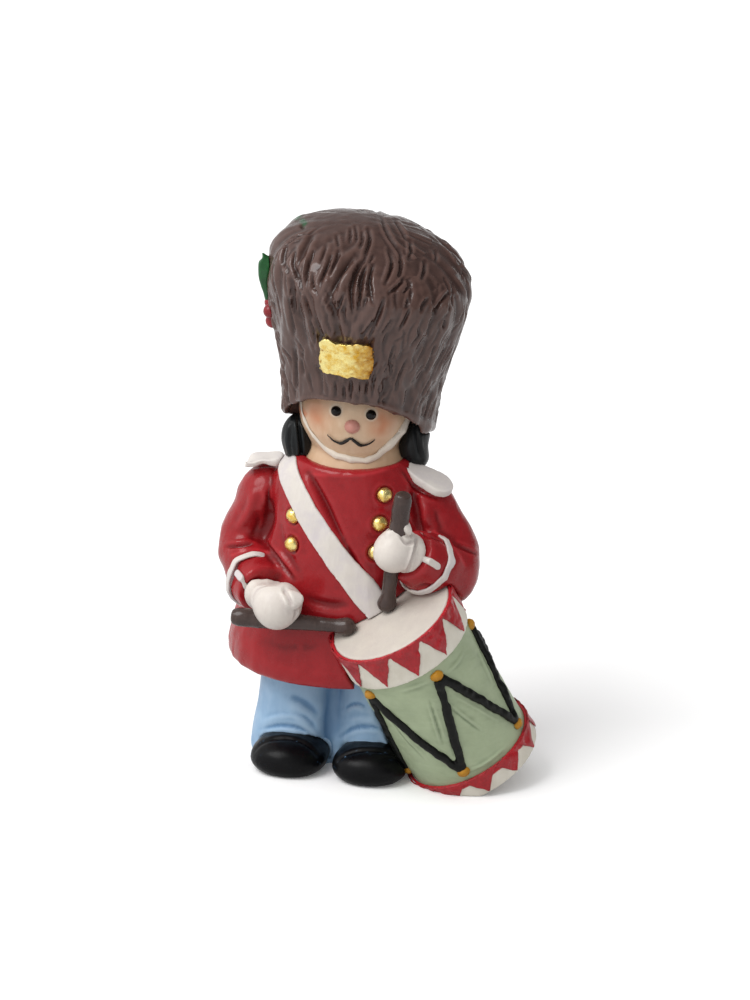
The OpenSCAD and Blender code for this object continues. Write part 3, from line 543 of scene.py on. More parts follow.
# Folds first of the right sleeve, then of the left one, along the sling and the neckline, and on the skirt
fold(
    coat,
    ([(269, 496), (269, 512), (268, 526), (262, 541)], 4.2, 1.3, 0, 0.3),
    ([(269, 488), (268, 498), (267, 507)], 1.3, 0.55, 0.1, 0.2),
    ([(262, 510), (259, 526), (253, 541)], 6.5, 1.25, 0, 0),
    ([(254, 487), (252, 504), (246, 518), (236, 531)], 4.6, -0.62, 0, 0),
    ([(262, 490), (266, 500), (267, 508)], 2.6, -0.3, 0, 0),
    ([(227, 547), (240, 546), (253, 543)], 1.8, 0.65, 0.35, 0.3),
    ([(263, 540), (276, 556), (285, 568), (294, 580)], 2.2, 0.65, 0.3, 0.05),
    ([(243, 468), (262, 466), (281, 465)], 1.5, 0.35, 0.15, 0.15),
    ([(245, 590), (252, 582), (262, 577)], 2.4, 0.3, 0.1, 0.1),
    ([(413, 490), (416, 508), (418, 524), (424, 536)], 3.8, 1.1, 0.1, 0.3),
    ([(427, 504), (425, 516), (427, 528)], 3.6, -0.55, 0, 0),
    ([(436, 508), (437, 520), (442, 530)], 3.2, 0.3, 0, 0.1),
    ([(420, 534), (433, 536), (448, 544)], 2.0, 0.5, 0.2, 0.15),
    ([(453, 543), (463, 548), (478, 555)], 1.9, 0.4, 0.22, 0.15),
    ([(440, 512), (452, 524), (462, 540)], 4.5, -0.18, 0, 0),
    ([(414, 588), (424, 584), (436, 586)], 2.6, 0.35, 0.1, 0.1),
    ([(402, 470), (410, 482), (420, 492), (440, 500)], 2.0, 0.5, 0.15, 0.1),
    ([(309, 473), (322, 497), (333, 519), (344, 541)], 3.2, 1.05, 0, 0.45),
    ([(344, 541), (355, 563), (366, 583), (371, 596)], 3.0, 0.85, 0, 0.35),
    ([(316, 472), (340, 477), (361, 475), (380, 470), (399, 463)], 1.5, -0.22, 0, 0),
    ([(292, 482), (300, 500), (312, 522)], 5.0, 0.25, 0, 0.1),
    ([(278, 520), (284, 545), (300, 575)], 5.0, 0.4, 0.1, 0.1),
    ([(384, 580), (388, 596), (391, 606)], 4.0, 0.6, 0.1, 0.1),
    ([(300, 596), (330, 606), (352, 604)], 5.0, 0.45, 0.1, 0.1),
    ([(240, 640), (262, 662), (300, 672), (338, 676)], 7.0, -0.2, 0, 0),
    ([(262, 640), (290, 648), (322, 646)], 6.0, 0.3, 0, 0),
    ([(232, 636), (229, 650), (232, 664)], 4.0, 0.3, 0, 0)
)
nudge(coat, ((226, 500), (4, 0), 16), ((224, 572), (4, 0), 14))
# A shallow moat with a raised rim round each button
points = points_of(coat)
moats = np.zeros(len(points))
for side in ("right", "left"):
    form = bmesh.new()
    form.from_mesh(mesh_of("buttons", side + "_coat_buttons"))
    for island in islands(form):
        button = np.mean([corner.co for corner in island], axis=0) / MM - FOOT
        gap = np.linalg.norm(points - button, axis=1)
        moats += 0.14 * bell((gap - 2.15) / 0.28) - 0.2 * bell((gap - 1.6) / 0.28)
    form.free()
push(coat, moats)
dent(coat, (0.15, 7.0, 11), (0.06, 2.8, 12), (0.045, 1.1, 13))
# Brighter red along the neckline and beside both braids
points = points_of(coat)
brighter_red = np.zeros(len(points))
for line in (
    [(314, 474), (338, 477), (361, 476), (382, 471), (400, 464)],
    [(232, 555), (246, 550), (258, 549), (270, 553)], [(434, 531), (449, 542), (460, 556), (465, 566)]
):
    gap = to_path(seen_at(points), line)[0]
    brighter_red = np.maximum(brighter_red, bell(gap / 1.6) * (0.45 + 0.5 * ripple(points, 1.5, 14)))
stain(coat, "over", brighter_red * (facing(coat) > 0.1))
finish(coat, crimson)

# Bearskin cap
# The cap is a solid casting whose fur was drawn into the master with a loop tool: deep
# S-shaped locks above the plate, long strokes down the sides and short nicks over a plain rim.
GRAIN_CAP = 0.295
CAP_TURN, CAP_ROLL, CAP_SLANT = 4, 4, 0.116
CAP_H, CAP_R = 45.2, 19.3
CAP_FOOT = (1.157, 3.085, 59.309)
CAP_PROFILE = [
    (0.0, 0.74), (0.16, 0.758), (0.28, 0.783), (0.4, 0.826), (0.52, 0.895), (0.63, 0.954), (0.7, 0.991),
    (0.78, 1.0), (0.85, 0.952), (0.91, 0.821), (0.955, 0.593), (0.985, 0.331), (1.0, 0.06)
]


def turned_by(turn, roll):
    """A turn about the upright after a roll to one side, in degrees."""
    return Matrix.Rotation(math.radians(turn), 3, "Z") @ Matrix.Rotation(math.radians(roll), 3, "Y")


CAP_TURNED = turned_by(CAP_TURN, CAP_ROLL)


def on_cap(turn, share):
    """A point on the cap's surface in mm: a turn from the front in degrees and a share of its height."""
    shares, reaches = zip(*CAP_PROFILE)
    reach = np.interp(share, shares, reaches) * CAP_R
    x, y = reach * math.sin(math.radians(turn)), -reach * math.cos(math.radians(turn))
    local = Vector((x, y, CAP_H * share - CAP_SLANT * share * x))
    return np.array(CAP_TURNED @ local + Vector(CAP_FOOT))


def stroke(points, ways, path, width, depth, lip, heights):
    """Adds to the heights a groove that tapers at both ends, with a lip at its right-hand side."""
    path = np.asarray(path)
    middle = path.mean(axis=0)
    reach = np.abs(path - middle).max() + 4 * width
    near = np.where(np.abs(points - middle).max(axis=1) < reach)[0]
    if not len(near):
        return
    spots, out = points[near], ways[near]
    best = np.full(len(near), 1e9)
    along = np.zeros(len(near))
    side = np.zeros(len(near))
    for i, (a, b) in enumerate(zip(path[:-1], path[1:])):
        step = b - a
        t = np.clip((spots - a) @ step / (step @ step), 0, 1)
        gap = spots - a - t[:, None] * step
        gap -= out * np.einsum("ij,ij->i", gap, out)[:, None] * 0.8
        far = np.linalg.norm(gap, axis=1)
        nearer = far < best
        best = np.where(nearer, far, best)
        along = np.where(nearer, (i + t) / (len(path) - 1), along)
        side = np.where(nearer, np.einsum("ij,ij->i", np.cross(step, gap), out), side)
    fade = np.sin(np.pi * np.clip(along, 0.02, 0.98)) ** 0.7
    edge = np.where(side < 0, lip, lip * 0.35)
    heights[near] += fade * (-depth * bell(best / width) + edge * np.exp(-((best / width - 1.7) ** 2) * 1.2))


# The rim over the face, in pixels of the picture
RIM = [
    (290, 417), (298, 410), (309, 404), (326, 403), (347, 404), (369, 407), (391, 414), (409, 422),
    (430, 432)
]
# The locks that the loop tool left, as folds. First those left of the plate's middle, from the crown down,
# then the broad valley and the glossy locks beside it, those at its right, and the nicks over the rim
LOCKS = [
    ([(315, 255), (309, 266), (307, 278), (309, 288)], 1.7, 0.85, 0.1, 0.35),
    ([(313, 277), (313, 288), (319, 298)], 1.6, 0.6, 0.1, 0.3),
    ([(327, 249), (324, 258), (321, 265)], 1.6, 0.45, 0.25, 0.1),
    ([(332, 260), (328, 270), (321, 286)], 1.7, 0.6, 0.1, 0.35),
    ([(339, 254), (338, 265), (330, 282)], 1.8, 0.65, 0.3, 0.25),
    ([(337, 238), (338, 244), (339, 250)], 1.4, 0.35, 0.2, 0.1),
    ([(298, 267), (298, 280), (303, 295)], 1.7, 0.6, 0.1, 0.3),
    ([(305, 297), (309, 309), (313, 322)], 1.6, 0.5, 0.1, 0.25),
    ([(293, 292), (295, 303), (296, 315)], 1.5, 0.45, 0.1, 0.25),
    ([(300, 294), (301, 302), (302, 309)], 1.4, 0.35, 0.1, 0.2),
    ([(285, 253), (283, 262), (284, 270)], 1.5, 0.35, 0.3, 0.1),
    ([(297, 252), (294, 266), (297, 280)], 1.6, 0.45, 0.35, 0.1),
    ([(288, 248), (285, 262), (289, 277)], 1.5, 0.45, 0.1, 0.3),
    ([(314, 237), (308, 246), (302, 258)], 2.6, 0.35, 0.15, 0.2),
    ([(355, 259), (347, 268), (336, 284), (330, 300)], 3.4, 0.85, 0.5, 0.55),
    ([(330, 300), (333, 310), (336, 320)], 2.6, 0.6, 0.15, 0.4),
    ([(365, 262), (357, 273), (351, 290), (353, 315)], 1.9, 0.8, 0.45, 0.2),
    ([(344, 297), (340, 307), (337, 315)], 1.5, 0.5, 0.25, 0.2),
    ([(366, 271), (361, 286), (361, 302), (357, 312)], 1.7, 0.6, 0.2, 0.3),
    ([(351, 232), (351, 238), (350, 245)], 1.5, 0.4, 0.2, 0.2),
    ([(362, 236), (363, 243), (360, 251)], 1.5, 0.4, 0.25, 0.1),
    ([(355, 229), (357, 237), (357, 244)], 1.3, 0.3, 0.15, 0.15),
    ([(368, 232), (371, 242), (365, 259)], 1.7, 0.55, 0.1, 0.4),
    ([(373, 259), (371, 263), (369, 267)], 1.4, 0.35, 0.1, 0.2),
    ([(373, 268), (369, 282), (370, 297), (373, 306)], 1.7, 0.6, 0.1, 0.45),
    ([(388, 253), (393, 267), (385, 287)], 1.7, 0.6, 0.2, 0.3),
    ([(398, 252), (402, 265), (398, 282)], 1.7, 0.55, 0.15, 0.3),
    ([(403, 281), (398, 290), (389, 296)], 1.6, 0.5, 0.1, 0.3),
    ([(410, 286), (407, 291), (403, 296)], 1.4, 0.35, 0.1, 0.2),
    ([(409, 242), (411, 251), (409, 262)], 1.6, 0.45, 0.1, 0.3),
    ([(424, 264), (424, 273), (421, 282)], 1.6, 0.5, 0.1, 0.3),
    ([(434, 254), (436, 259), (435, 264)], 1.4, 0.35, 0.1, 0.2),
    ([(384, 301), (380, 316), (369, 340)], 1.7, 0.6, 0.3, 0.15),
    ([(375, 322), (369, 331), (362, 338)], 1.5, 0.45, 0.15, 0.2),
    ([(392, 321), (386, 330), (381, 337)], 1.5, 0.45, 0.1, 0.25),
    ([(408, 301), (406, 310)], 1.4, 0.35, 0.1, 0.2),
    ([(409, 311), (405, 322), (399, 332)], 1.6, 0.5, 0.1, 0.25),
    ([(428, 301), (423, 307), (421, 314)], 1.5, 0.45, 0.1, 0.2),
    ([(449, 294), (440, 304), (433, 315)], 1.8, 0.6, 0.1, 0.25),
    ([(449, 306), (448, 313)], 1.3, 0.3, 0.1, 0.2),
    ([(430, 322), (428, 331), (427, 338)], 1.5, 0.4, 0.1, 0.2),
    ([(419, 332), (417, 341)], 1.4, 0.35, 0.1, 0.2),
    ([(445, 322), (443, 331)], 1.6, 0.5, 0.1, 0.2),
    ([(381, 219), (386, 234), (398, 254)], 1.7, 0.4, 0.15, 0.15),
    ([(394, 222), (402, 234), (407, 243)], 1.6, 0.4, 0.15, 0.15),
    ([(434, 237), (448, 249), (460, 266)], 1.7, 0.45, 0.1, 0.3),
    ([(288, 300), (291, 317), (295, 336)], 1.6, 0.45, 0.25, 0.15),
    ([(310, 320), (314, 335), (315, 348)], 1.6, 0.45, 0.2, 0.2),
    ([(295, 350), (297, 365), (297, 392)], 1.5, 0.45, 0.2, 0.2),
    ([(301, 360), (304, 376)], 1.4, 0.35, 0.15, 0.15),
    ([(335, 382), (336, 396)], 1.4, 0.35, 0.15, 0.15),
    ([(344, 385), (345, 398)], 1.4, 0.35, 0.15, 0.15),
    ([(352, 380), (351, 398)], 1.4, 0.35, 0.15, 0.15),
    ([(360, 382), (359, 396)], 1.4, 0.35, 0.15, 0.15),
    ([(368, 382), (366, 393)], 1.4, 0.35, 0.15, 0.15),
    ([(374, 374), (372, 397)], 1.5, 0.4, 0.15, 0.15),
    ([(394, 347), (390, 362), (391, 376)], 1.5, 0.4, 0.15, 0.15),
    ([(407, 360), (400, 375), (395, 393)], 1.5, 0.4, 0.15, 0.15),
    ([(420, 335), (413, 345), (410, 348)], 1.4, 0.35, 0.15, 0.15),
    ([(435, 347), (430, 360), (425, 373)], 1.5, 0.4, 0.15, 0.15)
]

fur = casting("bearskin_cap", "cap_fur", GRAIN_CAP, rubs=6)
fold(fur, *[(line, width, *(1.3 * height for height in heights)) for line, width, *heights in LOCKS])
points, ways = points_of(fur), ways_of(fur)
local = (points - np.array(CAP_FOOT)) @ np.array(CAP_TURNED)
share = local[:, 2] / CAP_H
turns = np.degrees(np.arctan2(local[:, 0], -local[:, 1]))
between = np.random.default_rng(7).uniform
heights = np.zeros(len(points))
# Broad locks that wander down the cap
flow = turns + 7 * np.sin(share * 11 + turns / 26) + 16 * (share - 0.6) * np.sin(np.radians(turns))
band = np.stack([np.radians(flow) * CAP_R, np.zeros(len(points)), local[:, 2]], axis=1)
calm = np.clip((1.0 - share) / 0.08, 0, 1)
heights += 0.22 * ripple(band, (2.3, 1, 9.0), 21) * np.clip((share - 0.16) / 0.15, 0, 1) * calm
heights += 0.1 * ripple(band, (1.2, 1, 6.0), 22) * np.clip((share - 0.14) / 0.12, 0, 1) * calm
outer = np.linalg.norm(local[:, :2], axis=1) > CAP_R * np.interp(share, *zip(*CAP_PROFILE)) - 1.6
outer |= share > 0.93
heights *= outer


def lock(turn, top, length, sway, phase, slant, steps):
    """The line of a lock that starts at a turn and a share of the height and runs down, swaying."""
    line = []
    for i in range(steps):
        t = i / (steps - 1)
        high = top - length * t
        grow = 1 / max(math.sin(math.acos(min(max(high, 0.0), 0.999))) if high > 0.93 else 1, 0.35)
        line.append(on_cap(turn + (sway * math.sin(2 * math.pi * t * 0.9 + phase) + slant * t) * grow, high))
    return line


for _ in range(360):
    turn = between(-180, 180)
    top = 1 - between(0.02, 0.8)
    pull = -13 * math.sin(math.radians(turn)) if abs(turn) < 90 else between(-9, 9)
    stroke(
        points, ways,
        lock(
            turn, top, between(0.07, 0.17), between(0.6, 2.2), between(0, 6.3), pull * between(0.3, 1.0), 6
        ),
        between(0.28, 0.42), between(0.14, 0.34), between(0.05, 0.14), heights
    )
for _ in range(150):
    turn = between(-180, 180)
    stroke(
        points, ways,
        lock(turn, between(0.2, 0.36), between(0.04, 0.08), 0.4, between(0, 6.3), between(-3, 3), 4),
        between(0.24, 0.34), between(0.12, 0.26), between(0.05, 0.12), heights
    )
heights = np.clip(heights * outer, -0.75, 0.42)
push(fur, heights + 0.05 * ripple(points, 1.3, 23))
# The rim is a smooth rolled band
nudge(fur, ((297, 403), (0, 8), 8), ((325, 400), (0, 2), 14), ((350, 401), (0, 3), 14))
nudge(fur, ((376, 403), (0, 1.5), 14), ((395, 407), (0, 4), 13), ((412, 418), (0, 3.5), 12))
points = points_of(fur)
to_rim = to_path(seen_at(points), RIM)[0]
faces_front = facing(fur) > 0
rub(fur, 36, (share < 0.155) | ((to_rim < 11) & (share < 0.36)))
push(fur, 0.42 * bell((to_rim - 4.0) / 3.4) * faces_front * (share < 0.36))
rub(fur, 14, (to_rim < 8) & (share < 0.3))
# A smear of the holly's green on the crown, over a small pit
points = points_of(fur)
faces_front = facing(fur) > 0
push(fur, -0.45 * dab(points, [(303, 229)], 2.2) * faces_front)
stain(fur, "over", 2.2 * dab(points, [(303, 223), (305, 225), (299, 217), (297, 219)], 2.2) * faces_front)
# Painted shade: the crown and the cap's left side are darkened with more of the shade colour
finish(
    fur,
    acrylic(
        "brown_satin_acrylic", "#533d37", "#281815", "#71574f", rough=0.21, strokes=(0.6, 0.6, 4.0),
        brush=0.035, mottle=0.22, wash_and_shade=0.6, drybrush_highlight=0.25, gloss=0.52, over="#1f4a2a"
    ),
    more=0.4 * np.clip((share - 0.8) / 0.12, 0, 1) + 0.45 * bell((turns - 75) / 42)
)

# Cap plate
# A thin raised plate on the front of the cap, left bare and covered with imitation gold leaf: a
# metal skin that is crinkled and torn at its edges, with a painted dark reflection in amber at its right.
GRAIN_PLATE = 0.1


def gold_leaf(name, crinkle, size):
    """Gold leaf whose crinkles have a depth and a size in mm."""
    made, tree, skin, place = new_paint(name)
    crumple = node(tree, "TexVoronoi", {"Vector": place, "Scale": 1 / (size * MM)}, feature="SMOOTH_F1")
    grain = node(
        tree, "TexNoise", {"Vector": place, "Scale": 1 / (0.35 * MM), "Detail": 5.0, "Roughness": 0.7}
    )
    tarnish = node(
        tree, "TexNoise", {"Vector": place, "Scale": 1 / (1.6 * MM), "Detail": 5.0, "Roughness": 0.65}
    )
    tone = node(tree, "MapRange", {"Value": tarnish.outputs["Fac"], "From Min": 0.42, "From Max": 0.66})
    colour = node(tree, "MixRGB", {"Fac": tone, "Color1": paint("#fbeb9e"), "Color2": paint("#e2b23c")})
    hollow_shade = node(tree, "Attribute", attribute_name="hollow_shade")
    aged = node(tree, "MixRGB", {"Fac": hollow_shade.outputs["Fac"], "Color1": colour, "Color2": paint("#6d3f12")})
    # Painted dark reflection: amber laid where the plate is stained, over its right side and two small spots
    over = node(tree, "Attribute", attribute_name="over")
    amber_reflection = node(tree, "MixRGB", {"Fac": over.outputs["Fac"], "Color1": aged, "Color2": paint("#a0660c")})
    relief = node(
        tree, "Math", {0: crumple.outputs["Distance"], 1: 0.8, 2: grain.outputs["Fac"]},
        operation="MULTIPLY_ADD"
    )
    raised = node(tree, "Bump", {"Height": relief, "Distance": crinkle * MM})
    worn = node(
        tree, "MapRange",
        {"Value": grain.outputs["Fac"], "From Min": 0.3, "From Max": 0.7, "To Min": 0.16, "To Max": 0.36}
    )
    feed(skin, {"Base Color": amber_reflection, "Metallic": 0.9, "Normal": raised, "Roughness": worn})
    return made


leaf_gold = gold_leaf("gold_leaf", crinkle=0.055, size=0.45)
plate = casting("cap_plate", "gold_leaf", GRAIN_PLATE, rubs=6)
points = points_of(plate)
# The leaf is torn: its outline wanders by a few tenths of a millimetre
tear = np.zeros((len(points), 3))
for size, seed, reach in ((1.4, 31, 0.38), (0.5, 33, 0.14)):
    tear[:, 0] += ripple(points, size, seed) * reach
    tear[:, 2] += ripple(points, size, seed + 1) * reach
put_points(plate, points + tear @ np.array(CAP_TURNED).T)
push(plate, 0.03 * ripple(points, 2.4, 35) + 0.022 * ripple(points, 0.45, 36))
nudge(plate, ((346, 338), (0, 3), 18), ((319, 338), (0, 4), 5))
corners = [((319, 338), (1.6, 2.0), 3.5), ((375, 346), (-2.0, 2.0), 4)]
nudge(plate, *corners, ((319, 374), (1.6, -2.0), 3.5), ((373, 380), (-2.4, -2.6), 4))
# A painted dark reflection: the leaf turns amber towards its right side, with two small amber spots at its
# left
across = seen_at(points)[:, 0]
worn = np.clip((across - 346) / 26, 0, 1) * 0.9 + 0.3 * ripple(points, 0.6, 37) * (across > 340)
stain(plate, "over", np.maximum(worn, 0.9 * dab(points, [(322, 352), (322, 364)], 1.5)))
finish(plate, leaf_gold, 2)

# Holly
# A sprig pressed on the right side of the cap: two leaves with a raised rib and a bunch of berries,
# dark green and dark red gloss paint.
leaves = casting("holly_leaves", "green_paint", 0.12, rubs=5)
nudge(
    leaves, ((258, 256), (4, 3), 5), ((261, 290), (3, 5), 7), ((268, 292), (0, 7), 7),
    ((269, 254), (0, 4), 5)
)
rub(leaves, 10)
dent(leaves, (0.1, 2.2, 41), (0.04, 0.8, 42))
finish(
    leaves,
    acrylic(
        "holly_green_enamel", "#1f5a2c", "#12301b", "#3f7d47", rough=0.3, brush=0.03,
        strokes=(0.5, 0.5, 2.0), gloss=0.5
    ),
    2
)
berries = casting("holly_berries", "berry_paint", 0.12, rubs=5, swell=-0.12)
finish(
    berries,
    acrylic(
        "berry_red_enamel", "#8f1f26", "#4f1216", "#b5444a", rough=0.25, brush=0.02, strokes=(0.6, 0.6, 0.9),
        gloss=0.5
    ),
    2
)

# Sling, shoulder straps, braid and tabs
# Raised bands of the same casting, picked out in two thin coats of off-white, so that a little violet
# undercoat shows and the edges wander where the brush met the red.
GRAIN_TRIM = 0.22


def off_white(name, tone="#d8d1c9", shade="#aea2ad", glow="#e8e2da", **others):
    """The acrylic of all white trim, with other settings where they are given."""
    trim = dict(rough=0.42, strokes=(0.7, 0.7, 4.0), brush=0.04, mottle=0.3, wash_and_shade=0.45, drybrush_highlight=0.2, gloss=0.35)
    return acrylic(name, tone, shade, glow, **{**trim, **others})


def wander(piece, size, reach, seed):
    """Lets the brushed edge of a thin raised piece wander sideways."""
    points = points_of(piece)
    drift = np.stack([ripple(points, size, seed + k) for k in range(3)], axis=1)
    put_points(piece, points + drift * reach)


band_white = off_white("sling_white_acrylic", shade="#a79cba", lean=(0, 40, 0))
sling = casting("drum_sling", "white_paint", GRAIN_TRIM, rubs=6)
wander(sling, 4.0, 0.18, 51)
dent(sling, (0.05, 2.0, 52))
finish(sling, band_white)

strap_white = off_white("strap_white_acrylic", tone="#e0d9d1", shade="#aea3b4")
for side, seed in (("right", 53), ("left", 54)):
    strap = casting(side + "_shoulder_strap", "white_paint", 0.2, rubs=7)
    if side == "right":
        nudge(strap, ((237, 462), (7, 1), 8), ((242, 455), (3, 6), 7), ((246, 471), (1, -6), 8))
        nudge(strap, ((262, 471), (0, -6), 9), ((239, 467), (7, -5), 5))
        rub(strap, 12)
    wander(strap, 3.0, 0.12, seed)
    dent(strap, (0.07, 2.2, seed + 5))
    finish(strap, strap_white)
    for part in ("cuff_braid", "cuff_tab"):
        trim = casting(side + "_" + part, "white_paint", 0.13, rubs=14)
        if part == "cuff_braid" and side == "left":
            nudge(trim, ((457, 562), (3, 4), 7), ((452, 579), (1.5, 2), 7))
            # Its upper end runs out under the red
            points = points_of(trim)
            sunk = dab(points, [(433, 529), (438, 531), (443, 532)], 5)
            put_points(trim, points - TOWARD * 1.5 * sunk[:, None])
        elif part == "cuff_braid":
            nudge(trim, ((272, 555), (3, 8), 9), ((239, 562), (-2, -2), 7))
        elif side == "right":
            nudge(trim, ((250, 584), (-4, 5), 6))
        wander(trim, 1.8, 0.14, seed + 9)
        finish(trim, band_white, 2)

# Coat buttons
# Small domes of the casting under a scrap of the same gold leaf
for side in ("right", "left"):
    buttons = casting(side + "_coat_buttons", "gold_leaf", 0.11, rubs=4)
    dent(buttons, (0.06, 0.7, 61))
    finish(buttons, leaf_gold, 2)

# Gloves and drumsticks
# Mitten fists in off-white, and sticks in the cap's brown, each stick with a butt, a neck and a knob
glove_white = off_white("glove_white_acrylic", "#dcd4cb", "#b1a5a4", "#e9e3dc", rough=0.34)
right_glove = casting("right_glove", "white_paint", 0.22, rubs=10, swell=0.05)
fold(
    right_glove,
    ([(285, 588), (288, 597), (293, 607)], 2.0, 0.75, 0.1, 0.25),
    ([(252, 596), (257, 587), (267, 582), (282, 580)], 1.3, 0.28, 0.1, 0.15),
    ([(300, 590), (302, 598), (298, 606)], 3.0, -0.35, 0, 0),
    ([(296, 608), (297, 614), (295, 619)], 1.6, 0.3, 0.1, 0.1)
)
nudge(right_glove, ((262, 574), (2, 5), 9), ((275, 573), (0, 6), 9), ((300, 597), (2, 0), 7))
left_glove = casting("left_glove", "white_paint", 0.22, rubs=10, swell=0.05)
fold(
    left_glove,
    ([(400, 540), (408, 545), (414, 540)], 1.5, 0.45, 0.1, 0.15),
    ([(417, 532), (414, 553), (406, 575)], 1.4, 0.5, 0.1, 0.45),
    ([(384, 536), (394, 533), (403, 535)], 4.5, -1.1, 0, 0),
    ([(403, 524), (408, 530), (411, 537)], 4.5, -0.9, 0, 0)
)
nudge(left_glove, ((396, 537), (0, -7), 9), ((408, 529), (-3, -3), 8))
for glove in (right_glove, left_glove):
    dent(glove, (0.09, 4.0, 71), more=-0.12)
    finish(glove, glove_white)

stick_brown = acrylic(
    "stick_brown_acrylic", "#453733", "#231816", "#635049", rough=0.22, strokes=(0.5, 0.5, 3.0), brush=0.04,
    gloss=0.42
)
for side, seed in (("right", 72), ("left", 73)):
    stick = casting(side + "_drumstick", "stick_brown", 0.18, rubs=5)
    knob = dab(points_of(stick), [(347, 627), (387, 600)], 11)
    dent(stick, (0.1, 2.0, seed), (0.04, 0.8, seed + 4), more=0.22 * knob)
    finish(stick, stick_brown, 2)

# Trousers
# Both legs are one casting with the folds that gather over the boots, in pale blue, with a darker
# blue laid in the hollows as a wash and as painted shade.
trousers = casting("trousers", "trouser_blue", 0.34, rubs=9)
nudge(trousers, ((363, 737), (0, 7), 14), ((394, 741), (0, 5), 10), ((285, 729), (0, 4), 17))
# The legs run into each other in one soft valley
to_valley = to_path(seen_at(points_of(trousers)), [(331, 680), (330, 770)])[0]
rub(trousers, 70, (to_valley < 14) & (facing(trousers) > -0.2))
fold(
    trousers,
    ([(331, 682), (330, 705), (329, 722), (328, 742), (328, 768)], 6.0, 0.9, 0, 0),
    ([(262, 722), (278, 717), (294, 717), (308, 723)], 2.4, -0.24, 0, 0),
    ([(260, 730), (280, 725), (300, 728), (316, 739)], 2.2, 0.24, 0.1, 0.16),
    ([(288, 697), (300, 701), (312, 709), (320, 718)], 5.0, 0.5, 0, 0.12),
    ([(296, 712), (308, 719), (318, 732)], 3.2, 0.24, 0, 0.12),
    ([(345, 709), (352, 704), (360, 704), (366, 708)], 2.0, 0.3, 0, 0.2),
    ([(340, 737), (352, 728), (370, 726), (390, 731)], 2.2, 0.24, 0.1, 0.16),
    ([(347, 722), (362, 718), (380, 722)], 2.4, -0.22, 0, 0)
)
dent(trousers, (0.16, 6.0, 81), (0.03, 2.4, 82))
finish(
    trousers,
    acrylic(
        "pale_blue_acrylic", "#93b3d0", "#4c76a0", "#b5cde2", rough=0.38, strokes=(1.4, 1.4, 4.0),
        lean=(0, -8, 0), brush=0.03, mottle=0.22, wash_and_shade=0.75, drybrush_highlight=0.3, gloss=0.35
    )
)

# Boots
# Rounded toes in gloss black, with a brushed rim that rides up on the trouser hems and some blue
# flecks from them.
boot_black = acrylic(
    "black_gloss_enamel", "#08080a", "#030304", "#111114", rough=0.32, strokes=(0.8, 0.8, 3.0), brush=0.04,
    mottle=0.3, gloss=0.17, over="#6f95b8"
)
# The roll of the rim behind each toe, in pixels of the picture
BOOT_RIMS = {
    "right": [(254, 752), (260, 744), (272, 739), (293, 739), (309, 746), (321, 760)],
    "left": [(336, 764), (343, 756), (356, 751), (373, 750), (391, 753), (405, 761)]
}
for side, seed in (("right", 83), ("left", 84)):
    boot = casting(side + "_boot", "black_satin", 0.3, rubs=8)
    fold(boot, (BOOT_RIMS[side], 1.6, 0.35, 0.12, 0))
    points = points_of(boot)
    dent(boot, (0.1, 4.0, seed), (0.02, 1.6, seed + 4))
    gap = to_path(seen_at(points), BOOT_RIMS[side])[0]
    stain(boot, "over", 4.0 * (ripple(points, 0.5, seed + 8) - 0.72) * bell(gap / 4.0))
    finish(boot, boot_black)

# Head
# A plain doll's ball of a head on a short neck, in flesh paint. The cheeks are dabbed with a drier,
# redder paint, and the neck below the head is darkened with a painted shadow.
head = casting("head", "skin_paint", 0.26, rubs=12)
dent(head, (0.07, 5.0, 91), (0.025, 1.8, 92))
HEAD_MIDDLE = np.array([*NECK_PLACE, 68.8])
FACE_TURN, FACE_ROLL = 12.5, 5
FACE_R = 10.7


def on_face(across, up):
    """A point on the face in mm, from angles in degrees from its middle."""
    a, e = math.radians(across), math.radians(up)
    local = Vector((math.sin(a) * math.cos(e), -math.cos(a) * math.cos(e), math.sin(e))) * FACE_R
    return np.array(turned_by(FACE_TURN, FACE_ROLL) @ local) + HEAD_MIDDLE


points = points_of(head)
blush = np.zeros(len(points))
for across, up, reach, share in ((33, 1, 3.0, 1.0), (-43, 3, 3.0, 0.95)):
    gap = np.linalg.norm(points - on_face(across, up), axis=1)
    blush += share * bell(gap / reach) * (0.85 + 0.3 * ripple(points, 1.6, 93))
by_ear = dab(points, [(303, 411), (304, 414)], 4.5) * (facing(head) > 0)
blush = np.maximum(blush, 1.1 * by_ear * (0.8 + 0.5 * ripple(points, 1.0, 94)))
stain(head, "blush", blush)
rings = np.linalg.norm(
    seen_at(points)[:, None] - np.array([(336.2, 411.2), (371.3, 415)]), axis=2
).min(axis=1)
stain(head, "pale", 0.8 * bell((rings - 5.6) / 1.1))
# Painted shadow under the chin: the neck darkens below the head
stain(head, "shadow", np.clip((HEAD_MIDDLE[2] - 6.2 - points[:, 2]) / 2.5, 0, 1))

flesh = acrylic(
    "flesh_acrylic", "#d9bd9f", "#b98f6c", "#e6d0b7", rough=0.36, strokes=(1.0, 1.0, 3.0), lean=(0, 60, 0),
    brush=0.025, mottle=0.35, wash_and_shade=0.7, drybrush_highlight=0.2, gloss=0.4
)
tree = flesh.node_tree
skin = tree.nodes["Principled BSDF"]
under = skin.inputs["Base Color"].links[0].from_socket
cheek = node(tree, "Attribute", attribute_name="blush")
warm = node(tree, "MixRGB", {"Fac": cheek.outputs["Fac"], "Color1": under, "Color2": paint("#c77a52")})
throat = node(tree, "Attribute", attribute_name="shadow")
deep = node(tree, "Math", {0: throat.outputs["Fac"], 1: 0.55}, operation="MULTIPLY")
full = node(tree, "MixRGB", {"Fac": deep, "Color1": warm, "Color2": paint("#c4a07c")})
bare = node(tree, "Attribute", attribute_name="pale")
ringed = node(tree, "MixRGB", {"Fac": bare.outputs["Fac"], "Color1": full, "Color2": paint("#ecdcc6")})
feed(skin, {"Base Color": ringed})
finish(head, flesh)

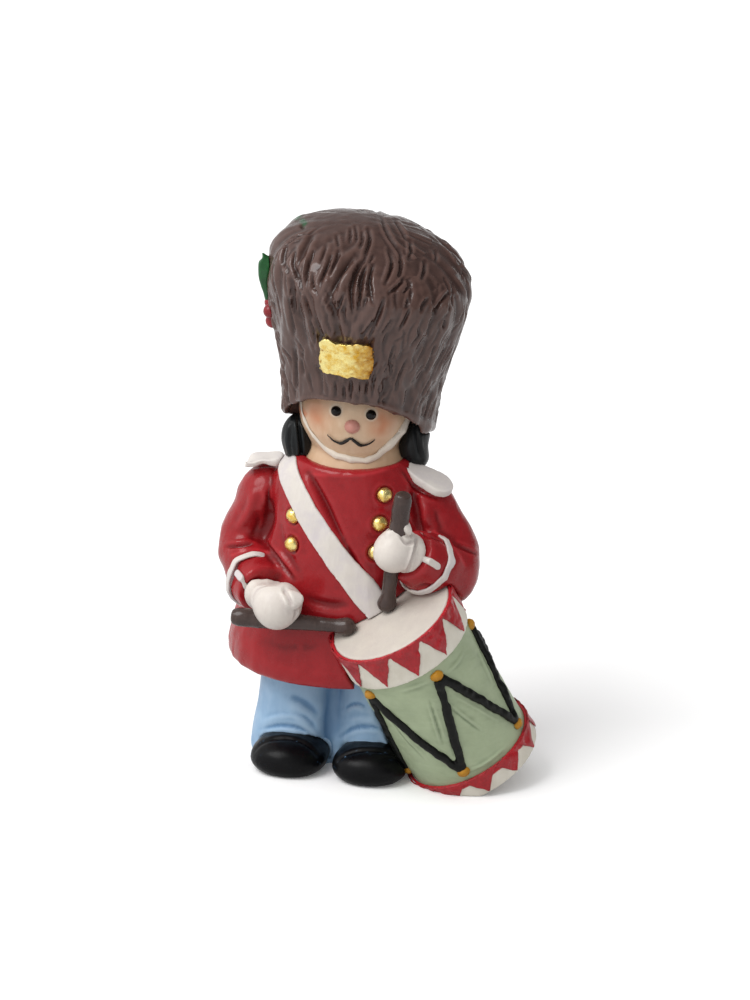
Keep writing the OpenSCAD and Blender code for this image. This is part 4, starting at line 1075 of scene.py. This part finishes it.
# Nose, eyes, moustache and chin strap
# A pea of pink paint, two beads of gloss black, a moustache drawn with the tip of a brush, and a
# painted strap that runs under the chin.
nose = casting("nose", "nose_paint", 0.11, rubs=5)
finish(
    nose,
    acrylic(
        "pink_acrylic", "#c98d80", "#a96a60", "#dba79c", rough=0.4, strokes=(0.6, 0.6, 1.2), brush=0.02,
        gloss=0.4
    ),
    2
)
eyes = casting("eyes", "black_gloss", 0.07, rubs=4)
dent(eyes, (0.05, 0.7, 95))
finish(
    eyes,
    acrylic(
        "eye_gloss_black", "#0e0b0a", "#050404", "#241a14", rough=0.22, strokes=(0.5, 0.5, 0.8), brush=0.06,
        gloss=0.28
    ),
    2
)
moustache = casting("moustache", "black_satin", 0.06, rubs=3)
# Drawn thin, and thinner to its two tips, without sinking into the face
points = points_of(moustache)
tip = np.abs(seen_at(points)[:, 0] - 351) / 25
push(moustache, -0.1 - 0.1 * tip)
points = points_of(moustache)
spoke = (points - HEAD_MIDDLE) / np.linalg.norm(points - HEAD_MIDDLE, axis=1)[:, None]
put_points(moustache, points + spoke * (0.1 + 0.08 * tip)[:, None])
wander(moustache, 0.7, 0.07, 96)
drawn_black = acrylic(
    "brush_black_acrylic", "#1b1714", "#0c0a09", "#3a302a", rough=0.42, strokes=(0.3, 0.3, 0.9), brush=0.03,
    gloss=0.4
)
finish(moustache, drawn_black, 2)
chin_strap = casting("chin_strap", "white_paint", 0.11, rubs=5)
# Broader at the left cheek, and thin at the right one
across = seen_at(points_of(chin_strap))[:, 0]
push(chin_strap, np.interp(across, (300, 345, 372, 388, 410), (-0.1, 0.0, 0.14, 0.46, 0.42)))
nudge(chin_strap, ((345, 458), (2, -2), 14), ((372, 459), (2, 2), 12))
wander(chin_strap, 2.0, 0.13, 97)
finish(chin_strap, off_white("strap_cream_acrylic", "#ddd2c4", "#c0aa95", "#eae1d4"), 2)

# Hair
# Two heavy locks beside the face, black and satin, the right one parted in two
lock_black = acrylic(
    "hair_black_acrylic", "#17191a", "#090909", "#2c3133", rough=0.28, strokes=(0.7, 0.7, 4.0), brush=0.05,
    gloss=0.24
)
HAIR_FOLDS = {
    "right": [
        ([(298, 417), (300, 436), (302, 455), (301, 470)], 1.6, 0.75, 0.2, 0.3),
        ([(291, 424), (289, 440), (292, 458)], 1.5, 0.25, 0.1, 0.15)
    ],
    "left": [([(416, 430), (418, 445), (421, 460)], 1.8, 0.35, 0.15, 0.2)]
}
for side, seed in (("right", 98), ("left", 99)):
    hair_lock = casting(side + "_hair_lock", "black_satin", 0.2, rubs=7)
    if side == "left":
        nudge(hair_lock, ((434, 445), (-6, 0), 13))
    fold(hair_lock, *HAIR_FOLDS[side])
    dent(hair_lock, (0.12, 2.4, seed))
    finish(hair_lock, lock_black)

# Drum shell and heads
# The side drum leans against the left leg. Its shell is brushed sage green with ridges where the
# brush stopped at the cords, and its heads are off-white.
DRUM_LEAN, DRUM_SWING = math.radians(29), math.radians(220)
DRUM_UP = np.array(
    (
        math.sin(DRUM_LEAN) * math.cos(DRUM_SWING), math.sin(DRUM_LEAN) * math.sin(DRUM_SWING),
        math.cos(DRUM_LEAN)
    )
)
DRUM_TOP = np.array([12.758, -14.409, 34.24])
sage = acrylic(
    "sage_green_acrylic", "#abb897", "#6b7a5f", "#b8c3a5", rough=0.4, strokes=(3.0, 3.0, 0.7),
    lean=(20, 22, 0), brush=0.06, mottle=0.25, wash_and_shade=0.8, drybrush_highlight=0.3, gloss=0.33
)
shell = casting("drum_shell", "drum_green", 0.26, rubs=4)
# Ridges of thick paint where the brush stopped beside the cords, in pixels of the picture
fold(
    shell,
    ([(427, 700), (433, 720), (441, 745)], 1.1, -0.24, -0.1, 0),
    ([(432, 698), (438, 716), (446, 740)], 1.0, -0.16, 0, 0),
    ([(444, 702), (449, 726), (456, 758)], 1.0, -0.28, 0, -0.12),
    ([(449, 703), (466, 717), (482, 729)], 1.2, -0.26, 0, -0.1),
    ([(452, 694), (474, 706), (500, 722)], 1.1, -0.16, 0, 0),
    ([(474, 640), (482, 660), (493, 684)], 1.2, -0.26, -0.1, 0),
    ([(488, 640), (500, 668), (512, 700)], 1.1, -0.22, 0, 0),
    ([(384, 706), (404, 735), (428, 760)], 1.1, -0.2, 0, -0.1),
    ([(400, 690), (414, 686), (430, 680)], 1.3, -0.26, 0, 0),
    ([(446, 672), (456, 664), (464, 650)], 1.2, -0.22, 0, 0),
    ([(462, 772), (484, 764), (508, 744)], 1.2, -0.22, 0, 0)
)
dent(shell, (0.1, 4.0, 101), (0.05, (2.6, 2.6, 0.9), 102))
finish(shell, sage)

skin_white = off_white("drumhead_acrylic", "#cbc3b8", "#a99e9d", "#d8d0c6", strokes=(1.2, 4.0, 1.2))
for name, seed in (("batter_head", 103), ("bottom_head", 104)):
    skin_head = casting(name, "cream_paint", 0.26, rubs=4)
    dent(skin_head, (0.05, 2.5, seed))
    finish(skin_head, skin_white)

# Hoops and their triangles
# Cream hoops with a ring of red triangles that hang from a red line, each one outlined in relief
# and flecked with dark paint along its edge.
# The red line runs along the head's rim on the upper hoop, and fills the upper part of the lower one
hoop_cream = off_white("hoop_cream_acrylic", "#e2dccf", "#b3a993", "#efe9dd", over="#b3222b")
HOOP_LINES = {"upper_hoop": 0.75, "lower_hoop": 1.35}
for name, seed in (("upper_hoop", 105), ("lower_hoop", 106)):
    hoop = casting(name, "cream_paint", 0.2, rubs=5)
    dent(hoop, (0.02, 2.0, seed))
    points = points_of(hoop)
    high = (points - DRUM_TOP) @ DRUM_UP
    line = HOOP_LINES[name] * (1 + 0.25 * ripple(points, 1.6, seed + 2))
    stain(hoop, "over", (high - high.max() + line) / 0.12)
    finish(hoop, hoop_cream)

triangle_red = acrylic(
    "triangle_red_acrylic", "#ad1a23", "#6a0e14", "#cd3a43", rough=0.3, strokes=(0.5, 0.5, 1.8), brush=0.05,
    mottle=0.35, gloss=0.5
)
tree = triangle_red.node_tree
skin = tree.nodes["Principled BSDF"]
under = skin.inputs["Base Color"].links[0].from_socket
rim = node(tree, "Attribute", attribute_name="rim")
place = node(tree, "TexCoord").outputs["Object"]
specks = node(tree, "TexNoise", {"Vector": place, "Scale": 1 / (0.45 * MM), "Detail": 2.0})
broken = node(tree, "MapRange", {"Value": specks.outputs["Fac"], "From Min": 0.5, "From Max": 0.6})
dark = node(tree, "Math", {0: rim.outputs["Fac"], 1: broken}, operation="MULTIPLY")
edged = node(tree, "MixRGB", {"Fac": dark, "Color1": under, "Color2": paint("#2c1313")})
feed(skin, {"Base Color": edged})
for name, seed in (("upper_hoop_triangles", 107), ("lower_hoop_triangles", 108)):
    triangles = casting(name, "triangle_red", 0.1, rubs=2)
    points, ways = points_of(triangles), ways_of(triangles)
    spoke = points - DRUM_TOP
    spoke -= (spoke @ DRUM_UP)[:, None] * DRUM_UP
    spoke /= np.linalg.norm(spoke, axis=1)[:, None]
    stain(triangles, "rim", 1.15 - np.einsum("ij,ij->i", ways, spoke))
    wander(triangles, 1.4, 0.2, seed)
    dent(triangles, (0.05, 0.8, seed + 4), more=0.07)
    finish(triangles, triangle_red, 2)

# Cords and lugs
# Black tension cords in relief, zigzag between the lugs, with a ragged ridge of paint beside them;
# the lugs are blobs of mustard paint.
cords = casting("drum_cords", "cord_paint", 0.2, rubs=3, swell=0.22)
wander(cords, 1.5, 0.18, 111)
dent(cords, (0.1, 1.0, 112))
finish(
    cords,
    acrylic(
        "cord_black_acrylic", "#0c0d0b", "#050505", "#1e201b", rough=0.38, strokes=(0.4, 0.4, 2.0),
        brush=0.06, gloss=0.22
    )
)
mustard = acrylic(
    "mustard_enamel", "#b98120", "#754b0d", "#cf9b3a", rough=0.4, strokes=(0.5, 0.5, 1.0), brush=0.07,
    gloss=0.35
)
for name, seed in (("upper_lugs", 113), ("lower_lugs", 114)):
    lugs = casting(name, "mustard_paint", 0.12, rubs=4)
    dent(lugs, (0.09, 0.9, seed))
    finish(lugs, mustard, 2)

# Dowels
# Birch pegs hidden in the castings; nothing of them shows
birch, tree, skin, place = new_paint("birch")
rings = node(tree, "TexNoise", {"Vector": place, "Scale": 1 / (0.8 * MM), "Detail": 3.0, "Distortion": 1.2})
wood = node(
    tree, "MixRGB", {"Fac": rings.outputs["Fac"], "Color1": paint("#d9bd8c"), "Color2": paint("#b8935f")}
)
feed(skin, {"Base Color": wood, "Roughness": 0.6})
for name in ("neck_dowel", "cap_dowel", "waist_dowels", "arm_dowels", "wrist_dowels", "drum_dowel"):
    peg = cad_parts[name]
    peg.data.materials.clear()
    peg.data.materials.append(birch)
